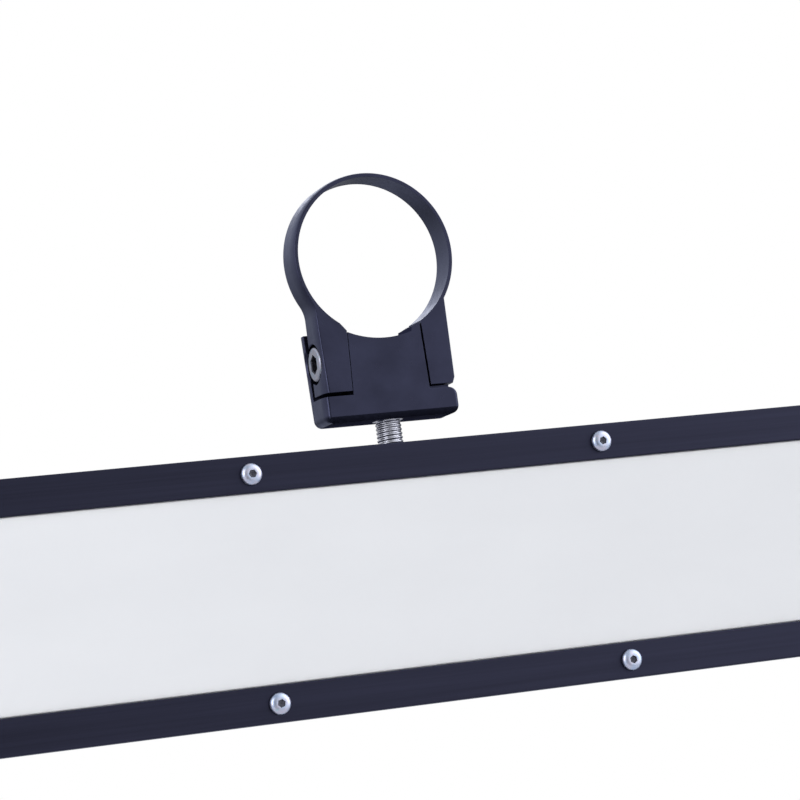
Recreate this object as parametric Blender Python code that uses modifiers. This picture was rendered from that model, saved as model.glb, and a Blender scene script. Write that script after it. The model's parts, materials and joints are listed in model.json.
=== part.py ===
"""A light bar that hangs under a round tube.

A split ring clamp holds the tube, and a threaded stud in the clamp's block carries a framed LED panel.
Metres, +Z up. The origin is on the tube's axis, straight above the stud, and +X runs along the bar.
The bar's pieces are placed from the middle of the stud at the bar's top face.
"""

import math

import bmesh
import bpy

# Clearance left between pieces that seat on each other
FIT = 0.0003

# Clamp ring
TUBE_DIAMETER = 0.060
STRAP_THICKNESS = 0.0020
STRAP_DEPTH = 0.0140
LEG_OUTER = 0.0264
LEG_BELOW_TUBE = 0.0203
NECK_RADIUS = 0.012
LEG_TIP_CLEARANCE = 0.0013
LEG_TIP_CUT = 0.0024
LEG_CORNER_CUT = 0.0022
STRAP_EDGE_ROUND = 0.0006
CLAMP_GAP = 0.0008

# Clamp block
REAR_WALL_THICKNESS = 0.0027
BASE_OVERHANG = 0.0005
BASE_THICKNESS = 0.0098
BASE_GAP = 0.0015
BASE_END_ROUND = 0.0030
BASE_FRONT_CHAMFER = 0.0022
UPRIGHT_TOP_WIDTH = 0.0290
UPRIGHT_FOOT_WIDTH = 0.0304
SADDLE_CLEARANCE = 0.0010
HORN_CLEARANCE = 0.00015
HORN_WIDTH = 0.0032
HORN_STEP = 0.0008
REAR_WALL_RISE = 0.0037
REAR_WALL_OVERHANG = 0.0003
BLOCK_EDGE_ROUND = 0.0004

# Clamp screw, a socket cap screw
CLAMP_SCREW_BELOW_TUBE = 0.0083
CLAMP_SCREW_DIAMETER = 0.008
CLAMP_SCREW_LENGTH = 0.040
CLAMP_HEAD_DIAMETER = 0.013
CLAMP_HEAD_HEIGHT = 0.008
CLAMP_HEAD_SINK = 0.0004
CLAMP_HEAD_CHAMFER = 0.0008
CLAMP_HEX = 0.006
CLAMP_HEX_DEPTH = 0.004
COUNTERBORE_DIAMETER = 0.015
CLAMP_SCREW_HOLE = 0.009

# Stud
STUD_DIAMETER = 0.0098
STUD_LENGTH = 0.030
STUD_FLOOR = 0.0015
STUD_CHAMFER = 0.0008
STUD_SHOWN = 0.0096

# Light bar
BAR_LENGTH = 0.460
BAR_HEIGHT = 0.097
BAR_DEPTH = 0.022
BAR_CENTRE = 0.0105
BEZEL_HEIGHT = 0.0135
BEZEL_THICKNESS = 0.0015
BEZEL_EDGE_ROUND = 0.0004
RAIL_HEIGHT = 0.011
RAIL_EDGE_ROUND = 0.0003
LIP_DROP = 0.0016
LIP_THICKNESS = 0.002
BACK_THICKNESS = 0.002
DIFFUSER_THICKNESS = 0.002
DIFFUSER_OVERLAP = 0.0033
GASKET_THICKNESS = 0.001
GASKET_WIDTH = 0.0024
REFLECTOR_THICKNESS = 0.0005

# Bezel screws, dome headed with a hex socket
BEZEL_SCREW_END_INSET = 0.0194
BEZEL_SCREWS_A_RAIL = 4
BEZEL_SCREW_DIAMETER = 0.004
BEZEL_SCREW_LENGTH = 0.010
BEZEL_HEAD_DIAMETER = 0.0080
BEZEL_HEAD_HEIGHT = 0.0022
BEZEL_HEAD_RIM = 0.0005
BEZEL_HEX = 0.0025
BEZEL_HEX_DEPTH = 0.0013

# Back screws, countersunk with a hex socket
BACK_SCREW_END_INSET = 0.090
BACK_SCREWS_A_RAIL = 3
BACK_SCREW_DIAMETER = 0.003
BACK_SCREW_LENGTH = 0.008
BACK_HEAD_DIAMETER = 0.0056
BACK_HEAD_HEIGHT = 0.0016
BACK_HEX = 0.002
BACK_HEX_DEPTH = 0.0009

# Corner screws, socket cap screws sunk in the long rails
CORNER_SCREW_DIAMETER = 0.004
CORNER_SCREW_LENGTH = 0.016
CORNER_HEAD_DIAMETER = 0.007
CORNER_HEAD_HEIGHT = 0.004
CORNER_HEX = 0.003
CORNER_HEX_DEPTH = 0.002

# LED boards
LED_ROWS = 3
LED_ROW_PITCH = 0.024
LED_BOARD_END_GAP = 0.0087
LED_BOARD_WIDTH = 0.010
LED_BOARD_THICKNESS = 0.0012
LEDS_A_BOARD = 18
LED_END_INSET = 0.01025
LED_LENGTH = 0.0035
LED_WIDTH = 0.0028
LED_HEIGHT = 0.0014

# Supply inlet and its leads
INLET_END_INSET = 0.040
INLET_BODY_DIAMETER = 0.008
INLET_FLANGE_DIAMETER = 0.012
INLET_FLANGE_THICKNESS = 0.0015
INLET_BODY_LENGTH = 0.011
INLET_SOCKET_DIAMETER = 0.0055
INLET_SOCKET_DEPTH = 0.009
INLET_PIN_DIAMETER = 0.002
INLET_NUT_SIZE = 0.010
INLET_NUT_THICKNESS = 0.0022
LEAD_DIAMETER = 0.0014
LEAD_POINTS = 13
LEAD_SWING = 0.002
LEAD_TAG_SPREAD = 0.0022
LEAD_PAD_INSET = 0.003
LEAD_PAD_SPREAD = 0.005
JUMPER_SWING = 0.004

# Facets of round shapes
RING_STEP_DEG = 5
HOLE_SIDES = 20
SCREW_STEPS = 16
BOLT_STEPS = 28
SMALL_HOLE_SIDES = 16
BORE_SIDES = 24
COUNTERBORE_SIDES = 32
DOME_STEPS = 4

# Places that follow from the sizes above
TUBE_RADIUS = TUBE_DIAMETER / 2
STRAP_OUTER = TUBE_RADIUS + STRAP_THICKNESS
LEG_DROP = TUBE_RADIUS + LEG_BELOW_TUBE
REAR_WALL_DROP = TUBE_RADIUS - REAR_WALL_RISE
CLAMP_SCREW_DROP = TUBE_RADIUS + CLAMP_SCREW_BELOW_TUBE
BLOCK_DEPTH = STRAP_DEPTH + FIT + REAR_WALL_THICKNESS
BLOCK_WIDTH = 2 * (LEG_OUTER + BASE_OVERHANG)
BLOCK_FRONT = -BLOCK_DEPTH / 2
STRAP_BACK = BLOCK_FRONT + STRAP_DEPTH
BASE_TOP = -LEG_DROP - BASE_GAP
BASE_BOTTOM = BASE_TOP - BASE_THICKNESS
BAR_TOP = BASE_BOTTOM - STUD_SHOWN
BAR_FRONT = -BAR_DEPTH / 2
BAR_BACK = BAR_DEPTH / 2
RAIL_FRONT = BAR_FRONT + BEZEL_THICKNESS + FIT
RAIL_BACK = BAR_BACK - BACK_THICKNESS - FIT
DIFFUSER_BACK = RAIL_FRONT + DIFFUSER_THICKNESS
GASKET_BACK = DIFFUSER_BACK + FIT + GASKET_THICKNESS
LIP_FRONT = GASKET_BACK + FIT
DIFFUSER_EDGE = BEZEL_HEIGHT - DIFFUSER_OVERLAP
STEP_EDGE = DIFFUSER_EDGE - FIT
BAR_LEFT = BAR_CENTRE - BAR_LENGTH / 2
BAR_RIGHT = BAR_CENTRE + BAR_LENGTH / 2
BAR_MIDDLE = -BAR_HEIGHT / 2
STUD_IN_RAIL = STEP_EDGE - FIT - STUD_FLOOR
BEZEL_SCREW_PITCH = (BAR_LENGTH - 2 * BEZEL_SCREW_END_INSET) / (BEZEL_SCREWS_A_RAIL - 1)
BACK_SCREW_PITCH = (BAR_LENGTH - 2 * BACK_SCREW_END_INSET) / (BACK_SCREWS_A_RAIL - 1)
LED_BOARD_LENGTH = BAR_LENGTH - 2 * (RAIL_HEIGHT + FIT + LED_BOARD_END_GAP)
LED_PITCH = (LED_BOARD_LENGTH - 2 * LED_END_INSET) / (LEDS_A_BOARD - 1)
INLET_X = BAR_RIGHT - INLET_END_INSET
LEAD_PADS_X = BAR_CENTRE + LED_PITCH * (LEDS_A_BOARD / 2 - 1)

# Ways that a piece can face: the turn that brings its own +Z there
FACING = {
    "front": (math.radians(90), 0, 0),
    "front_on_flat": (math.radians(90), math.radians(30), 0),
    "back": (math.radians(-90), 0, 0),
    "left": (0, math.radians(-90), 0),
    "up": (0, 0, 0),
    "down": (math.radians(180), 0, 0),
    "along": (math.radians(90), 0, math.radians(90)),
}


def clear_scene():
    for old in list(bpy.data.objects):
        bpy.data.objects.remove(old, do_unlink=True)


def collection(name):
    made = bpy.data.collections.new(name)
    bpy.context.scene.collection.children.link(made)
    return made


def finish(name, colour, roughness, metallic=0.0):
    """A Principled material of one colour."""
    made = bpy.data.materials.new(name)
    made.use_nodes = True
    shader = made.node_tree.nodes["Principled BSDF"]
    shader.inputs["Base Color"].default_value = (*colour, 1.0)
    shader.inputs["Roughness"].default_value = roughness
    shader.inputs["Metallic"].default_value = metallic
    return made


clear_scene()
PARTS = collection("tube_hung_light_bar")
CUTTERS = collection("cutters")

BLACK_ANODISED = finish("black_anodised", (0.030, 0.032, 0.058), 0.38, 0.85)
BLACK_RAIL = finish("black_rail", (0.024, 0.025, 0.045), 0.42, 0.7)
ZINC = finish("zinc_plated", (0.62, 0.64, 0.70), 0.32, 1.0)
STAINLESS = finish("stainless", (0.66, 0.66, 0.68), 0.28, 1.0)
OPAL = finish("opal_acrylic", (0.78, 0.79, 0.82), 0.45)
WHITE_FILM = finish("white_film", (0.90, 0.90, 0.90), 0.6)
BOARD_WHITE = finish("led_board", (0.85, 0.86, 0.84), 0.5)
FOAM = finish("foam_rubber", (0.02, 0.02, 0.022), 0.9)
INLET_BLACK = finish("inlet_plastic", (0.02, 0.02, 0.022), 0.4)
LEAD_JACKET = finish("lead_jacket", (0.55, 0.03, 0.03), 0.5)


def add(name, mesh, parent=None, at=(0, 0, 0), facing="up", looks=None, smooth_deg=None):
    """A named sub-part at its place, shaded smooth below an edge angle when one is given."""
    made = bpy.data.objects.new(name, mesh)
    PARTS.objects.link(made)
    made.parent = parent
    made.location = at
    made.rotation_euler = FACING[facing]
    if looks and not mesh.materials:
        mesh.materials.append(looks)
    if smooth_deg:
        mesh.shade_smooth()
        mesh.set_sharp_from_angle(angle=math.radians(smooth_deg))
    return made


def add_cutter(name, mesh, parent=None, at=(0, 0, 0), facing="up"):
    """A hidden tool that a Boolean takes away from a sub-part."""
    made = bpy.data.objects.new(name, mesh)
    CUTTERS.objects.link(made)
    made.parent = parent
    made.location = at
    made.rotation_euler = FACING[facing]
    made.hide_render = True
    made.display_type = "WIRE"
    return made


def pivot(name, at):
    """An empty on a joint's axis, which carries the pieces that move with it."""
    made = bpy.data.objects.new(name, None)
    PARTS.objects.link(made)
    made.location = at
    return made


def boolean(target, tool, operation="DIFFERENCE"):
    step = target.modifiers.new(operation.lower() + "_" + tool.name, "BOOLEAN")
    step.object = tool
    step.operation = operation
    step.solver = "EXACT"


def round_edges(target, width, segments=2):
    """Rounds every edge sharper than a facet of a curve."""
    step = target.modifiers.new("edge_round", "BEVEL")
    step.width = width
    step.segments = segments
    step.limit_method = "ANGLE"
    step.angle_limit = math.radians(40)


def box_mesh(name, size):
    """A box centred on its own origin."""
    shape = bmesh.new()
    bmesh.ops.create_cube(shape, size=1.0)
    bmesh.ops.scale(shape, vec=size, verts=shape.verts)
    mesh = bpy.data.meshes.new(name)
    shape.to_mesh(mesh)
    shape.free()
    return mesh


def rod_mesh(name, diameter, length, sides=HOLE_SIDES):
    """A cylinder that runs from its own origin up its +Z."""
    shape = bmesh.new()
    bmesh.ops.create_cone(
        shape,
        cap_ends=True,
        segments=sides,
        radius1=diameter / 2,
        radius2=diameter / 2,
        depth=length,
    )
    bmesh.ops.translate(shape, vec=(0, 0, length / 2), verts=shape.verts)
    mesh = bpy.data.meshes.new(name)
    shape.to_mesh(mesh)
    shape.free()
    return mesh


def hex_mesh(name, across_flats, length):
    return rod_mesh(name, across_flats / math.cos(math.radians(30)), length, sides=6)


def sheet_mesh(name, outlines, thickness):
    """Closed outlines, the inner ones holes, made as thick as asked about their own plane."""
    curve = bpy.data.curves.new(name, "CURVE")
    curve.dimensions = "2D"
    curve.fill_mode = "BOTH"
    curve.extrude = thickness / 2
    for outline in outlines:
        spline = curve.splines.new("POLY")
        spline.points.add(len(outline) - 1)
        for point, (across, along) in zip(spline.points, outline):
            point.co = (across, along, 0, 1)
        spline.use_cyclic_u = True
    guide = bpy.data.objects.new(name + "_outline", curve)
    mesh = solid_from_curve(guide)
    mesh.name = name
    return mesh


def solid_from_curve(guide):
    """The curve's evaluated mesh with its loose caps welded on. The curve is removed."""
    bpy.context.scene.collection.objects.link(guide)
    graph = bpy.context.evaluated_depsgraph_get()
    mesh = bpy.data.meshes.new_from_object(guide.evaluated_get(graph))
    shape = bmesh.new()
    shape.from_mesh(mesh)
    bmesh.ops.remove_doubles(shape, verts=shape.verts, dist=1e-6)
    bmesh.ops.recalc_face_normals(shape, faces=shape.faces)
    shape.to_mesh(mesh)
    shape.free()
    curve = guide.data
    bpy.data.objects.remove(guide, do_unlink=True)
    bpy.data.curves.remove(curve)
    return mesh


def arc(centre, radius, start_deg, end_deg, step_deg=RING_STEP_DEG):
    """Points along an arc, both ends included."""
    count = max(2, math.ceil(abs(end_deg - start_deg) / step_deg))
    turns = [math.radians(start_deg + (end_deg - start_deg) * i / count) for i in range(count + 1)]
    return [(centre[0] + radius * math.cos(t), centre[1] + radius * math.sin(t)) for t in turns]


def rectangle(width, height):
    return [
        (-width / 2, -height / 2),
        (width / 2, -height / 2),
        (width / 2, height / 2),
        (-width / 2, height / 2),
    ]


def profile_mesh(name, profile):
    """The edges of a profile of (radius, height) points, from its top down its outer side."""
    mesh = bpy.data.meshes.new(name)
    points = [(radius, 0, height) for radius, height in profile]
    mesh.from_pydata(points, [(i, i + 1) for i in range(len(points) - 1)], [])
    return mesh


def turn(made, steps):
    """Turns a profile about its own Z."""
    step = made.modifiers.new("turn", "SCREW")
    step.steps = steps
    step.render_steps = steps
    step.use_merge_vertices = True
    step.merge_threshold = 1e-6
    step.use_smooth_shade = True
    return made


def turned(name, profile, looks, parent, at, facing, steps=SCREW_STEPS):
    """A turned sub-part."""
    return turn(add(name, profile_mesh(name, profile), parent, at, facing, looks), steps)


def socket(screw, across_flats, top, depth):
    """The hex socket in a screw's head, seen from above at the height of the head's top."""
    tool = add_cutter(
        screw.name + "_socket",
        hex_mesh(screw.name + "_socket", across_flats, 2 * depth),
        screw,
        (0, 0, top - depth),
    )
    boolean(screw, tool)


def hole(target, name, diameter, length, at, facing, parent=None, sides=HOLE_SIDES):
    """A round hole that runs from a point the way it faces."""
    boolean(target, add_cutter(name, rod_mesh(name, diameter, length, sides), parent, at, facing))


def cap_profile(head_diameter, head_height, shank_diameter, shank_length, chamfer):
    """A socket cap screw, its origin under the head and the head upwards."""
    head = head_diameter / 2
    shank = shank_diameter / 2
    return [
        (0, head_height),
        (head - chamfer, head_height),
        (head, head_height - chamfer),
        (head, 0),
        (shank, 0),
        (shank, chamfer - shank_length),
        (shank - chamfer, -shank_length),
        (0, -shank_length),
    ]


def dome_profile():
    """The bezel screw: a low dome over a short rim, its origin under the head."""
    head = BEZEL_HEAD_DIAMETER / 2
    flat = BEZEL_HEX * 0.7
    shank = BEZEL_SCREW_DIAMETER / 2
    rise = BEZEL_HEAD_HEIGHT - BEZEL_HEAD_RIM
    dome = []
    for i in range(DOME_STEPS + 1):
        turn = math.radians(90 * i / DOME_STEPS)
        dome.append((flat + (head - flat) * math.sin(turn), BEZEL_HEAD_RIM + rise * math.cos(turn)))
    below = [(head, 0), (shank, 0), (shank, -BEZEL_SCREW_LENGTH), (0, -BEZEL_SCREW_LENGTH)]
    return [(0, BEZEL_HEAD_HEIGHT)] + dome + below


def countersunk_profile(clear=0):
    """The back screw, or its hole with a clearance: a flat head over a cone, its origin at the head's top."""
    head = BACK_HEAD_DIAMETER / 2 + 2 * clear
    shank = BACK_SCREW_DIAMETER / 2 + clear
    slope = BACK_HEAD_HEIGHT / (BACK_HEAD_DIAMETER / 2 - BACK_SCREW_DIAMETER / 2)
    neck = clear - slope * (head - shank)
    tip = -BACK_SCREW_LENGTH - clear
    return [(0, clear), (head, clear), (shank, neck), (shank, tip), (0, tip)]


# Clamp


def upright_half(height):
    """Half the width of the block's tapered upright at a height."""
    drop = (-height - TUBE_RADIUS) / (-BASE_TOP - TUBE_RADIUS)
    return (UPRIGHT_TOP_WIDTH + (UPRIGHT_FOOT_WIDTH - UPRIGHT_TOP_WIDTH) * drop) / 2


def on_ring(radius, across):
    """The height at which a circle about the tube's axis, below it, reaches across to a point."""
    return -math.sqrt(radius**2 - across**2)


def ring_angle(radius, across):
    """The angle, below the horizontal, of that same point."""
    return -math.degrees(math.acos(across / radius))


def leg_tip(radius, gap):
    """Where a leg's inner face, a gap outside the upright, meets a circle about the tube's axis."""
    height = -radius
    for _ in range(30):
        across = upright_half(height) + gap
        height = on_ring(radius, across)
    return across, height


def clamp_ring_outline():
    """The strap: round the tube, then down into two legs. The left neck is filleted, the right one square."""
    bottom = -LEG_DROP
    right_tip = leg_tip(TUBE_RADIUS, CLAMP_GAP)[0]
    neck_x = -LEG_OUTER - NECK_RADIUS
    neck_z = -math.sqrt((STRAP_OUTER + NECK_RADIUS) ** 2 - neck_x**2)
    neck_turn = math.degrees(math.atan2(-neck_z, -neck_x))
    left_tip, left_top = leg_tip(TUBE_RADIUS + LEG_TIP_CLEARANCE, FIT)
    left_end = 180 - ring_angle(TUBE_RADIUS, left_tip + LEG_TIP_CUT)
    inside = arc((0, 0), TUBE_RADIUS, left_end, ring_angle(TUBE_RADIUS, right_tip))
    outside = arc((0, 0), STRAP_OUTER, ring_angle(STRAP_OUTER, LEG_OUTER), 180 + neck_turn)
    neck = arc((neck_x, neck_z), NECK_RADIUS, neck_turn, 0, 6)[1:]
    left_leg = [
        (-LEG_OUTER, bottom),
        (-upright_half(bottom) - FIT, bottom),
        (-left_tip, left_top),
    ]
    right_leg = [
        (upright_half(bottom) + CLAMP_GAP, bottom),
        (LEG_OUTER - LEG_CORNER_CUT, bottom),
        (LEG_OUTER, bottom + LEG_CORNER_CUT),
    ]
    return left_leg + inside + right_leg + outside + neck


def base_outline():
    """The block from the front: a base with round ends, and an upright with a saddle under the tube."""
    half = BLOCK_WIDTH / 2
    low = BASE_BOTTOM + BASE_END_ROUND
    saddle = TUBE_RADIUS + SADDLE_CLEARANCE
    horn = TUBE_RADIUS + HORN_CLEARANCE
    horn_tip, horn_top = leg_tip(horn, 0)
    horn_start = horn_tip - HORN_WIDTH
    saddle_end = horn_start - HORN_STEP
    left_top = -leg_tip(saddle, 0)[0]
    base = arc((-half + BASE_END_ROUND, low), BASE_END_ROUND, 180, 270, 15)
    base += arc((half - BASE_END_ROUND, low), BASE_END_ROUND, -90, 0, 15)
    base += arc((half - BASE_END_ROUND, BASE_TOP - BASE_END_ROUND), BASE_END_ROUND, 0, 90, 15)
    right_side = [(upright_half(BASE_TOP), BASE_TOP), (horn_tip, horn_top)]
    horn_arc = arc((0, 0), horn, ring_angle(horn, horn_tip), ring_angle(horn, horn_start))[1:]
    saddle_arc = arc((0, 0), saddle, ring_angle(saddle, saddle_end), ring_angle(saddle, left_top))
    left_side = [(-upright_half(BASE_TOP), BASE_TOP), (-half, BASE_TOP)]
    return base + right_side + horn_arc + saddle_arc + left_side


def rear_wall_outline():
    """The wall behind the legs, cut away where the tube passes."""
    half = BLOCK_WIDTH / 2 + REAR_WALL_OVERHANG
    low = BASE_BOTTOM + BASE_END_ROUND
    saddle = TUBE_RADIUS + SADDLE_CLEARANCE
    shoulder = math.sqrt(saddle**2 - REAR_WALL_DROP**2)
    wall = arc((-half + BASE_END_ROUND, low), BASE_END_ROUND, 180, 270, 15)
    wall += arc((half - BASE_END_ROUND, low), BASE_END_ROUND, -90, 0, 15)
    wall += [(half, -REAR_WALL_DROP)]
    wall += arc((0, 0), saddle, ring_angle(saddle, shoulder), ring_angle(saddle, -shoulder))
    return wall + [(-half, -REAR_WALL_DROP)]


def make_clamp(parent):
    head_seat = -LEG_OUTER + CLAMP_HEAD_SINK + CLAMP_HEAD_HEIGHT
    axis = -CLAMP_SCREW_DROP

    ring = add(
        "clamp_ring",
        sheet_mesh("clamp_ring", [clamp_ring_outline()], STRAP_DEPTH),
        parent,
        (0, BLOCK_FRONT + STRAP_DEPTH / 2, 0),
        "front",
        BLACK_ANODISED,
        35,
    )
    round_edges(ring, STRAP_EDGE_ROUND)
    past = CLAMP_HEAD_HEIGHT + 2 * STRAP_THICKNESS
    seat = (head_seat, 0, axis)
    hole(ring, "ring_counterbore", COUNTERBORE_DIAMETER, past, seat, "left", parent, COUNTERBORE_SIDES)
    through = 4 * LEG_OUTER
    thread = CLAMP_SCREW_DIAMETER + 2 * FIT
    hole(ring, "ring_screw_hole", thread, through, (through / 2, 0, axis), "left", parent, BORE_SIDES)

    wall_front = STRAP_BACK + FIT
    base_depth = BLOCK_DEPTH - REAR_WALL_THICKNESS / 2
    block = add(
        "clamp_block",
        sheet_mesh("clamp_block", [base_outline()], base_depth),
        parent,
        (0, BLOCK_FRONT + base_depth / 2, 0),
        "front",
        BLACK_ANODISED,
        35,
    )
    round_edges(block, BLOCK_EDGE_ROUND)
    wall = add_cutter(
        "rear_wall",
        sheet_mesh("rear_wall", [rear_wall_outline()], REAR_WALL_THICKNESS),
        parent,
        (0, wall_front + REAR_WALL_THICKNESS / 2, 0),
        "front",
    )
    round_edges(wall, BLOCK_EDGE_ROUND)
    boolean(block, wall, "UNION")
    run_out = BASE_END_ROUND
    slope = [
        (BLOCK_FRONT - run_out, BASE_BOTTOM + BASE_FRONT_CHAMFER + run_out),
        (BLOCK_FRONT - run_out, BASE_BOTTOM - run_out),
        (BLOCK_FRONT + BASE_FRONT_CHAMFER + run_out, BASE_BOTTOM - run_out),
    ]
    wedge = sheet_mesh("base_chamfer", [slope], 2 * BLOCK_WIDTH)
    boolean(block, add_cutter("base_chamfer", wedge, parent, facing="along"))
    hole(block, "block_counterbore", COUNTERBORE_DIAMETER, past, seat, "left", parent, COUNTERBORE_SIDES)
    start = (-head_seat, 0, axis)
    hole(block, "block_screw_hole", CLAMP_SCREW_HOLE, through, start, "left", parent, BORE_SIDES)
    stud_top = BAR_TOP - STUD_IN_RAIL + STUD_LENGTH
    stud_hole = stud_top + FIT - BASE_BOTTOM
    bore = STUD_DIAMETER + 2 * FIT
    start = (0, 0, BASE_BOTTOM - stud_hole)
    hole(block, "block_stud_hole", bore, 2 * stud_hole, start, "up", parent, BORE_SIDES)

    profile = cap_profile(
        CLAMP_HEAD_DIAMETER, CLAMP_HEAD_HEIGHT, CLAMP_SCREW_DIAMETER, CLAMP_SCREW_LENGTH, CLAMP_HEAD_CHAMFER
    )
    place = (head_seat - FIT, 0, axis)
    screw = turned("clamp_screw", profile, ZINC, parent, place, "left", BOLT_STEPS)
    socket(screw, CLAMP_HEX, CLAMP_HEAD_HEIGHT, CLAMP_HEX_DEPTH)


# Light bar: from here on heights are measured from the bar's top face, at the stud


def rail_section(inner_lip):
    """A rail across its length, as (depth, height from its outer face), stepped for the diffuser's edge."""
    lip_back = LIP_FRONT + LIP_THICKNESS
    lip_foot = -RAIL_HEIGHT - LIP_DROP
    section = [(RAIL_FRONT, 0), (RAIL_BACK, 0), (RAIL_BACK, -RAIL_HEIGHT)]
    if inner_lip:
        section += [(lip_back, -RAIL_HEIGHT), (lip_back, lip_foot), (LIP_FRONT, lip_foot)]
    else:
        section += [(LIP_FRONT, -RAIL_HEIGHT)]
    return section + [(LIP_FRONT, -STEP_EDGE), (RAIL_FRONT, -STEP_EDGE)]


def bezel_screw_places():
    """Name, x and height of each dome screw: along both long rails, and one in the middle of each end."""
    places = []
    first = BAR_CENTRE - BEZEL_SCREW_PITCH * (BEZEL_SCREWS_A_RAIL - 1) / 2
    for rail, height in (("top", -BEZEL_HEIGHT / 2), ("bottom", BEZEL_HEIGHT / 2 - BAR_HEIGHT)):
        for i in range(BEZEL_SCREWS_A_RAIL):
            places.append((f"{rail}_{i + 1}", rail, first + i * BEZEL_SCREW_PITCH, height))
    places.append(("left", "left", BAR_LEFT + BEZEL_HEIGHT / 2, BAR_MIDDLE))
    places.append(("right", "right", BAR_RIGHT - BEZEL_HEIGHT / 2, BAR_MIDDLE))
    return places


def back_screw_places():
    """Name, rail, x and height of each countersunk screw in the back plate."""
    places = []
    first = BAR_CENTRE - BACK_SCREW_PITCH * (BACK_SCREWS_A_RAIL - 1) / 2
    inset = RAIL_HEIGHT / 2
    for rail, height in (("top", -inset), ("bottom", inset - BAR_HEIGHT)):
        for i in range(BACK_SCREWS_A_RAIL):
            places.append((f"{rail}_{i + 1}", rail, first + i * BACK_SCREW_PITCH, height))
    places.append(("left", "left", BAR_LEFT + inset, BAR_MIDDLE))
    places.append(("right", "right", BAR_RIGHT - inset, BAR_MIDDLE))
    return places


def corner_screw_places():
    """Name, long rail, end rail, x, outer face and way of each corner screw."""
    places = []
    inset = RAIL_HEIGHT / 2
    for long_rail, face, facing in (("top", 0, "up"), ("bottom", -BAR_HEIGHT, "down")):
        places.append((f"{long_rail}_left", long_rail, "left", BAR_LEFT + inset, face, facing))
        places.append((f"{long_rail}_right", long_rail, "right", BAR_RIGHT - inset, face, facing))
    return places


def make_rails(parent):
    """Two long rails with a lip behind the diffuser, and two end rails between them."""
    rails = {}
    upper = rail_section(True)
    lower = [(depth, -BAR_HEIGHT - height) for depth, height in upper]
    for name, section in (("top", upper), ("bottom", lower)):
        rail = add(
            name + "_rail",
            sheet_mesh(name + "_rail", [section], BAR_LENGTH),
            parent,
            (BAR_CENTRE, 0, 0),
            "along",
            BLACK_RAIL,
        )
        round_edges(rail, RAIL_EDGE_ROUND, 1)
        rails[name] = rail
    end_length = BAR_HEIGHT - 2 * RAIL_HEIGHT - 2 * FIT
    left = [(BAR_LEFT - height, depth) for depth, height in rail_section(False)]
    right = [(BAR_RIGHT + height, depth) for depth, height in rail_section(False)]
    for name, section in (("left", left), ("right", right)):
        rail = add(
            name + "_rail",
            sheet_mesh(name + "_rail", [section], end_length),
            parent,
            (0, 0, BAR_MIDDLE),
            "up",
            BLACK_RAIL,
        )
        round_edges(rail, RAIL_EDGE_ROUND, 1)
        rails[name] = rail
    relieve_lips(rails, parent)
    return rails


def relieve_lips(rails, parent):
    """Cuts the long rails' lips back at both ends, where the end rails stand."""
    reach = RAIL_HEIGHT + FIT
    depth = LIP_THICKNESS + 2 * FIT
    for name, height in (("top", -RAIL_HEIGHT - reach / 2), ("bottom", RAIL_HEIGHT + reach / 2 - BAR_HEIGHT)):
        for side, x in (("left", BAR_LEFT), ("right", BAR_RIGHT)):
            tool = f"lip_relief_{name}_{side}"
            mesh = box_mesh(tool, (2 * reach, depth, reach))
            place = (x, LIP_FRONT + LIP_THICKNESS / 2, height)
            boolean(rails[name], add_cutter(tool, mesh, parent, place))


def make_bezels(parent):
    """Four flat strips over the rails' front: the long ones run full length, the short ones between them."""
    window = BAR_HEIGHT - 2 * BEZEL_HEIGHT
    long_size = (BAR_LENGTH, BEZEL_THICKNESS, BEZEL_HEIGHT)
    short_size = (BEZEL_HEIGHT, BEZEL_THICKNESS, window - 2 * FIT)
    y = BAR_FRONT + BEZEL_THICKNESS / 2
    places = {
        "top": (long_size, BAR_CENTRE, -BEZEL_HEIGHT / 2),
        "bottom": (long_size, BAR_CENTRE, BEZEL_HEIGHT / 2 - BAR_HEIGHT),
        "left": (short_size, BAR_LEFT + BEZEL_HEIGHT / 2, BAR_MIDDLE),
        "right": (short_size, BAR_RIGHT - BEZEL_HEIGHT / 2, BAR_MIDDLE),
    }
    bezels = {}
    for name, (size, x, z) in places.items():
        bezel = add(name + "_bezel", box_mesh(name + "_bezel", size), parent, (x, y, z), "up", BLACK_RAIL)
        round_edges(bezel, BEZEL_EDGE_ROUND)
        bezels[name] = bezel
    return bezels


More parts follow.
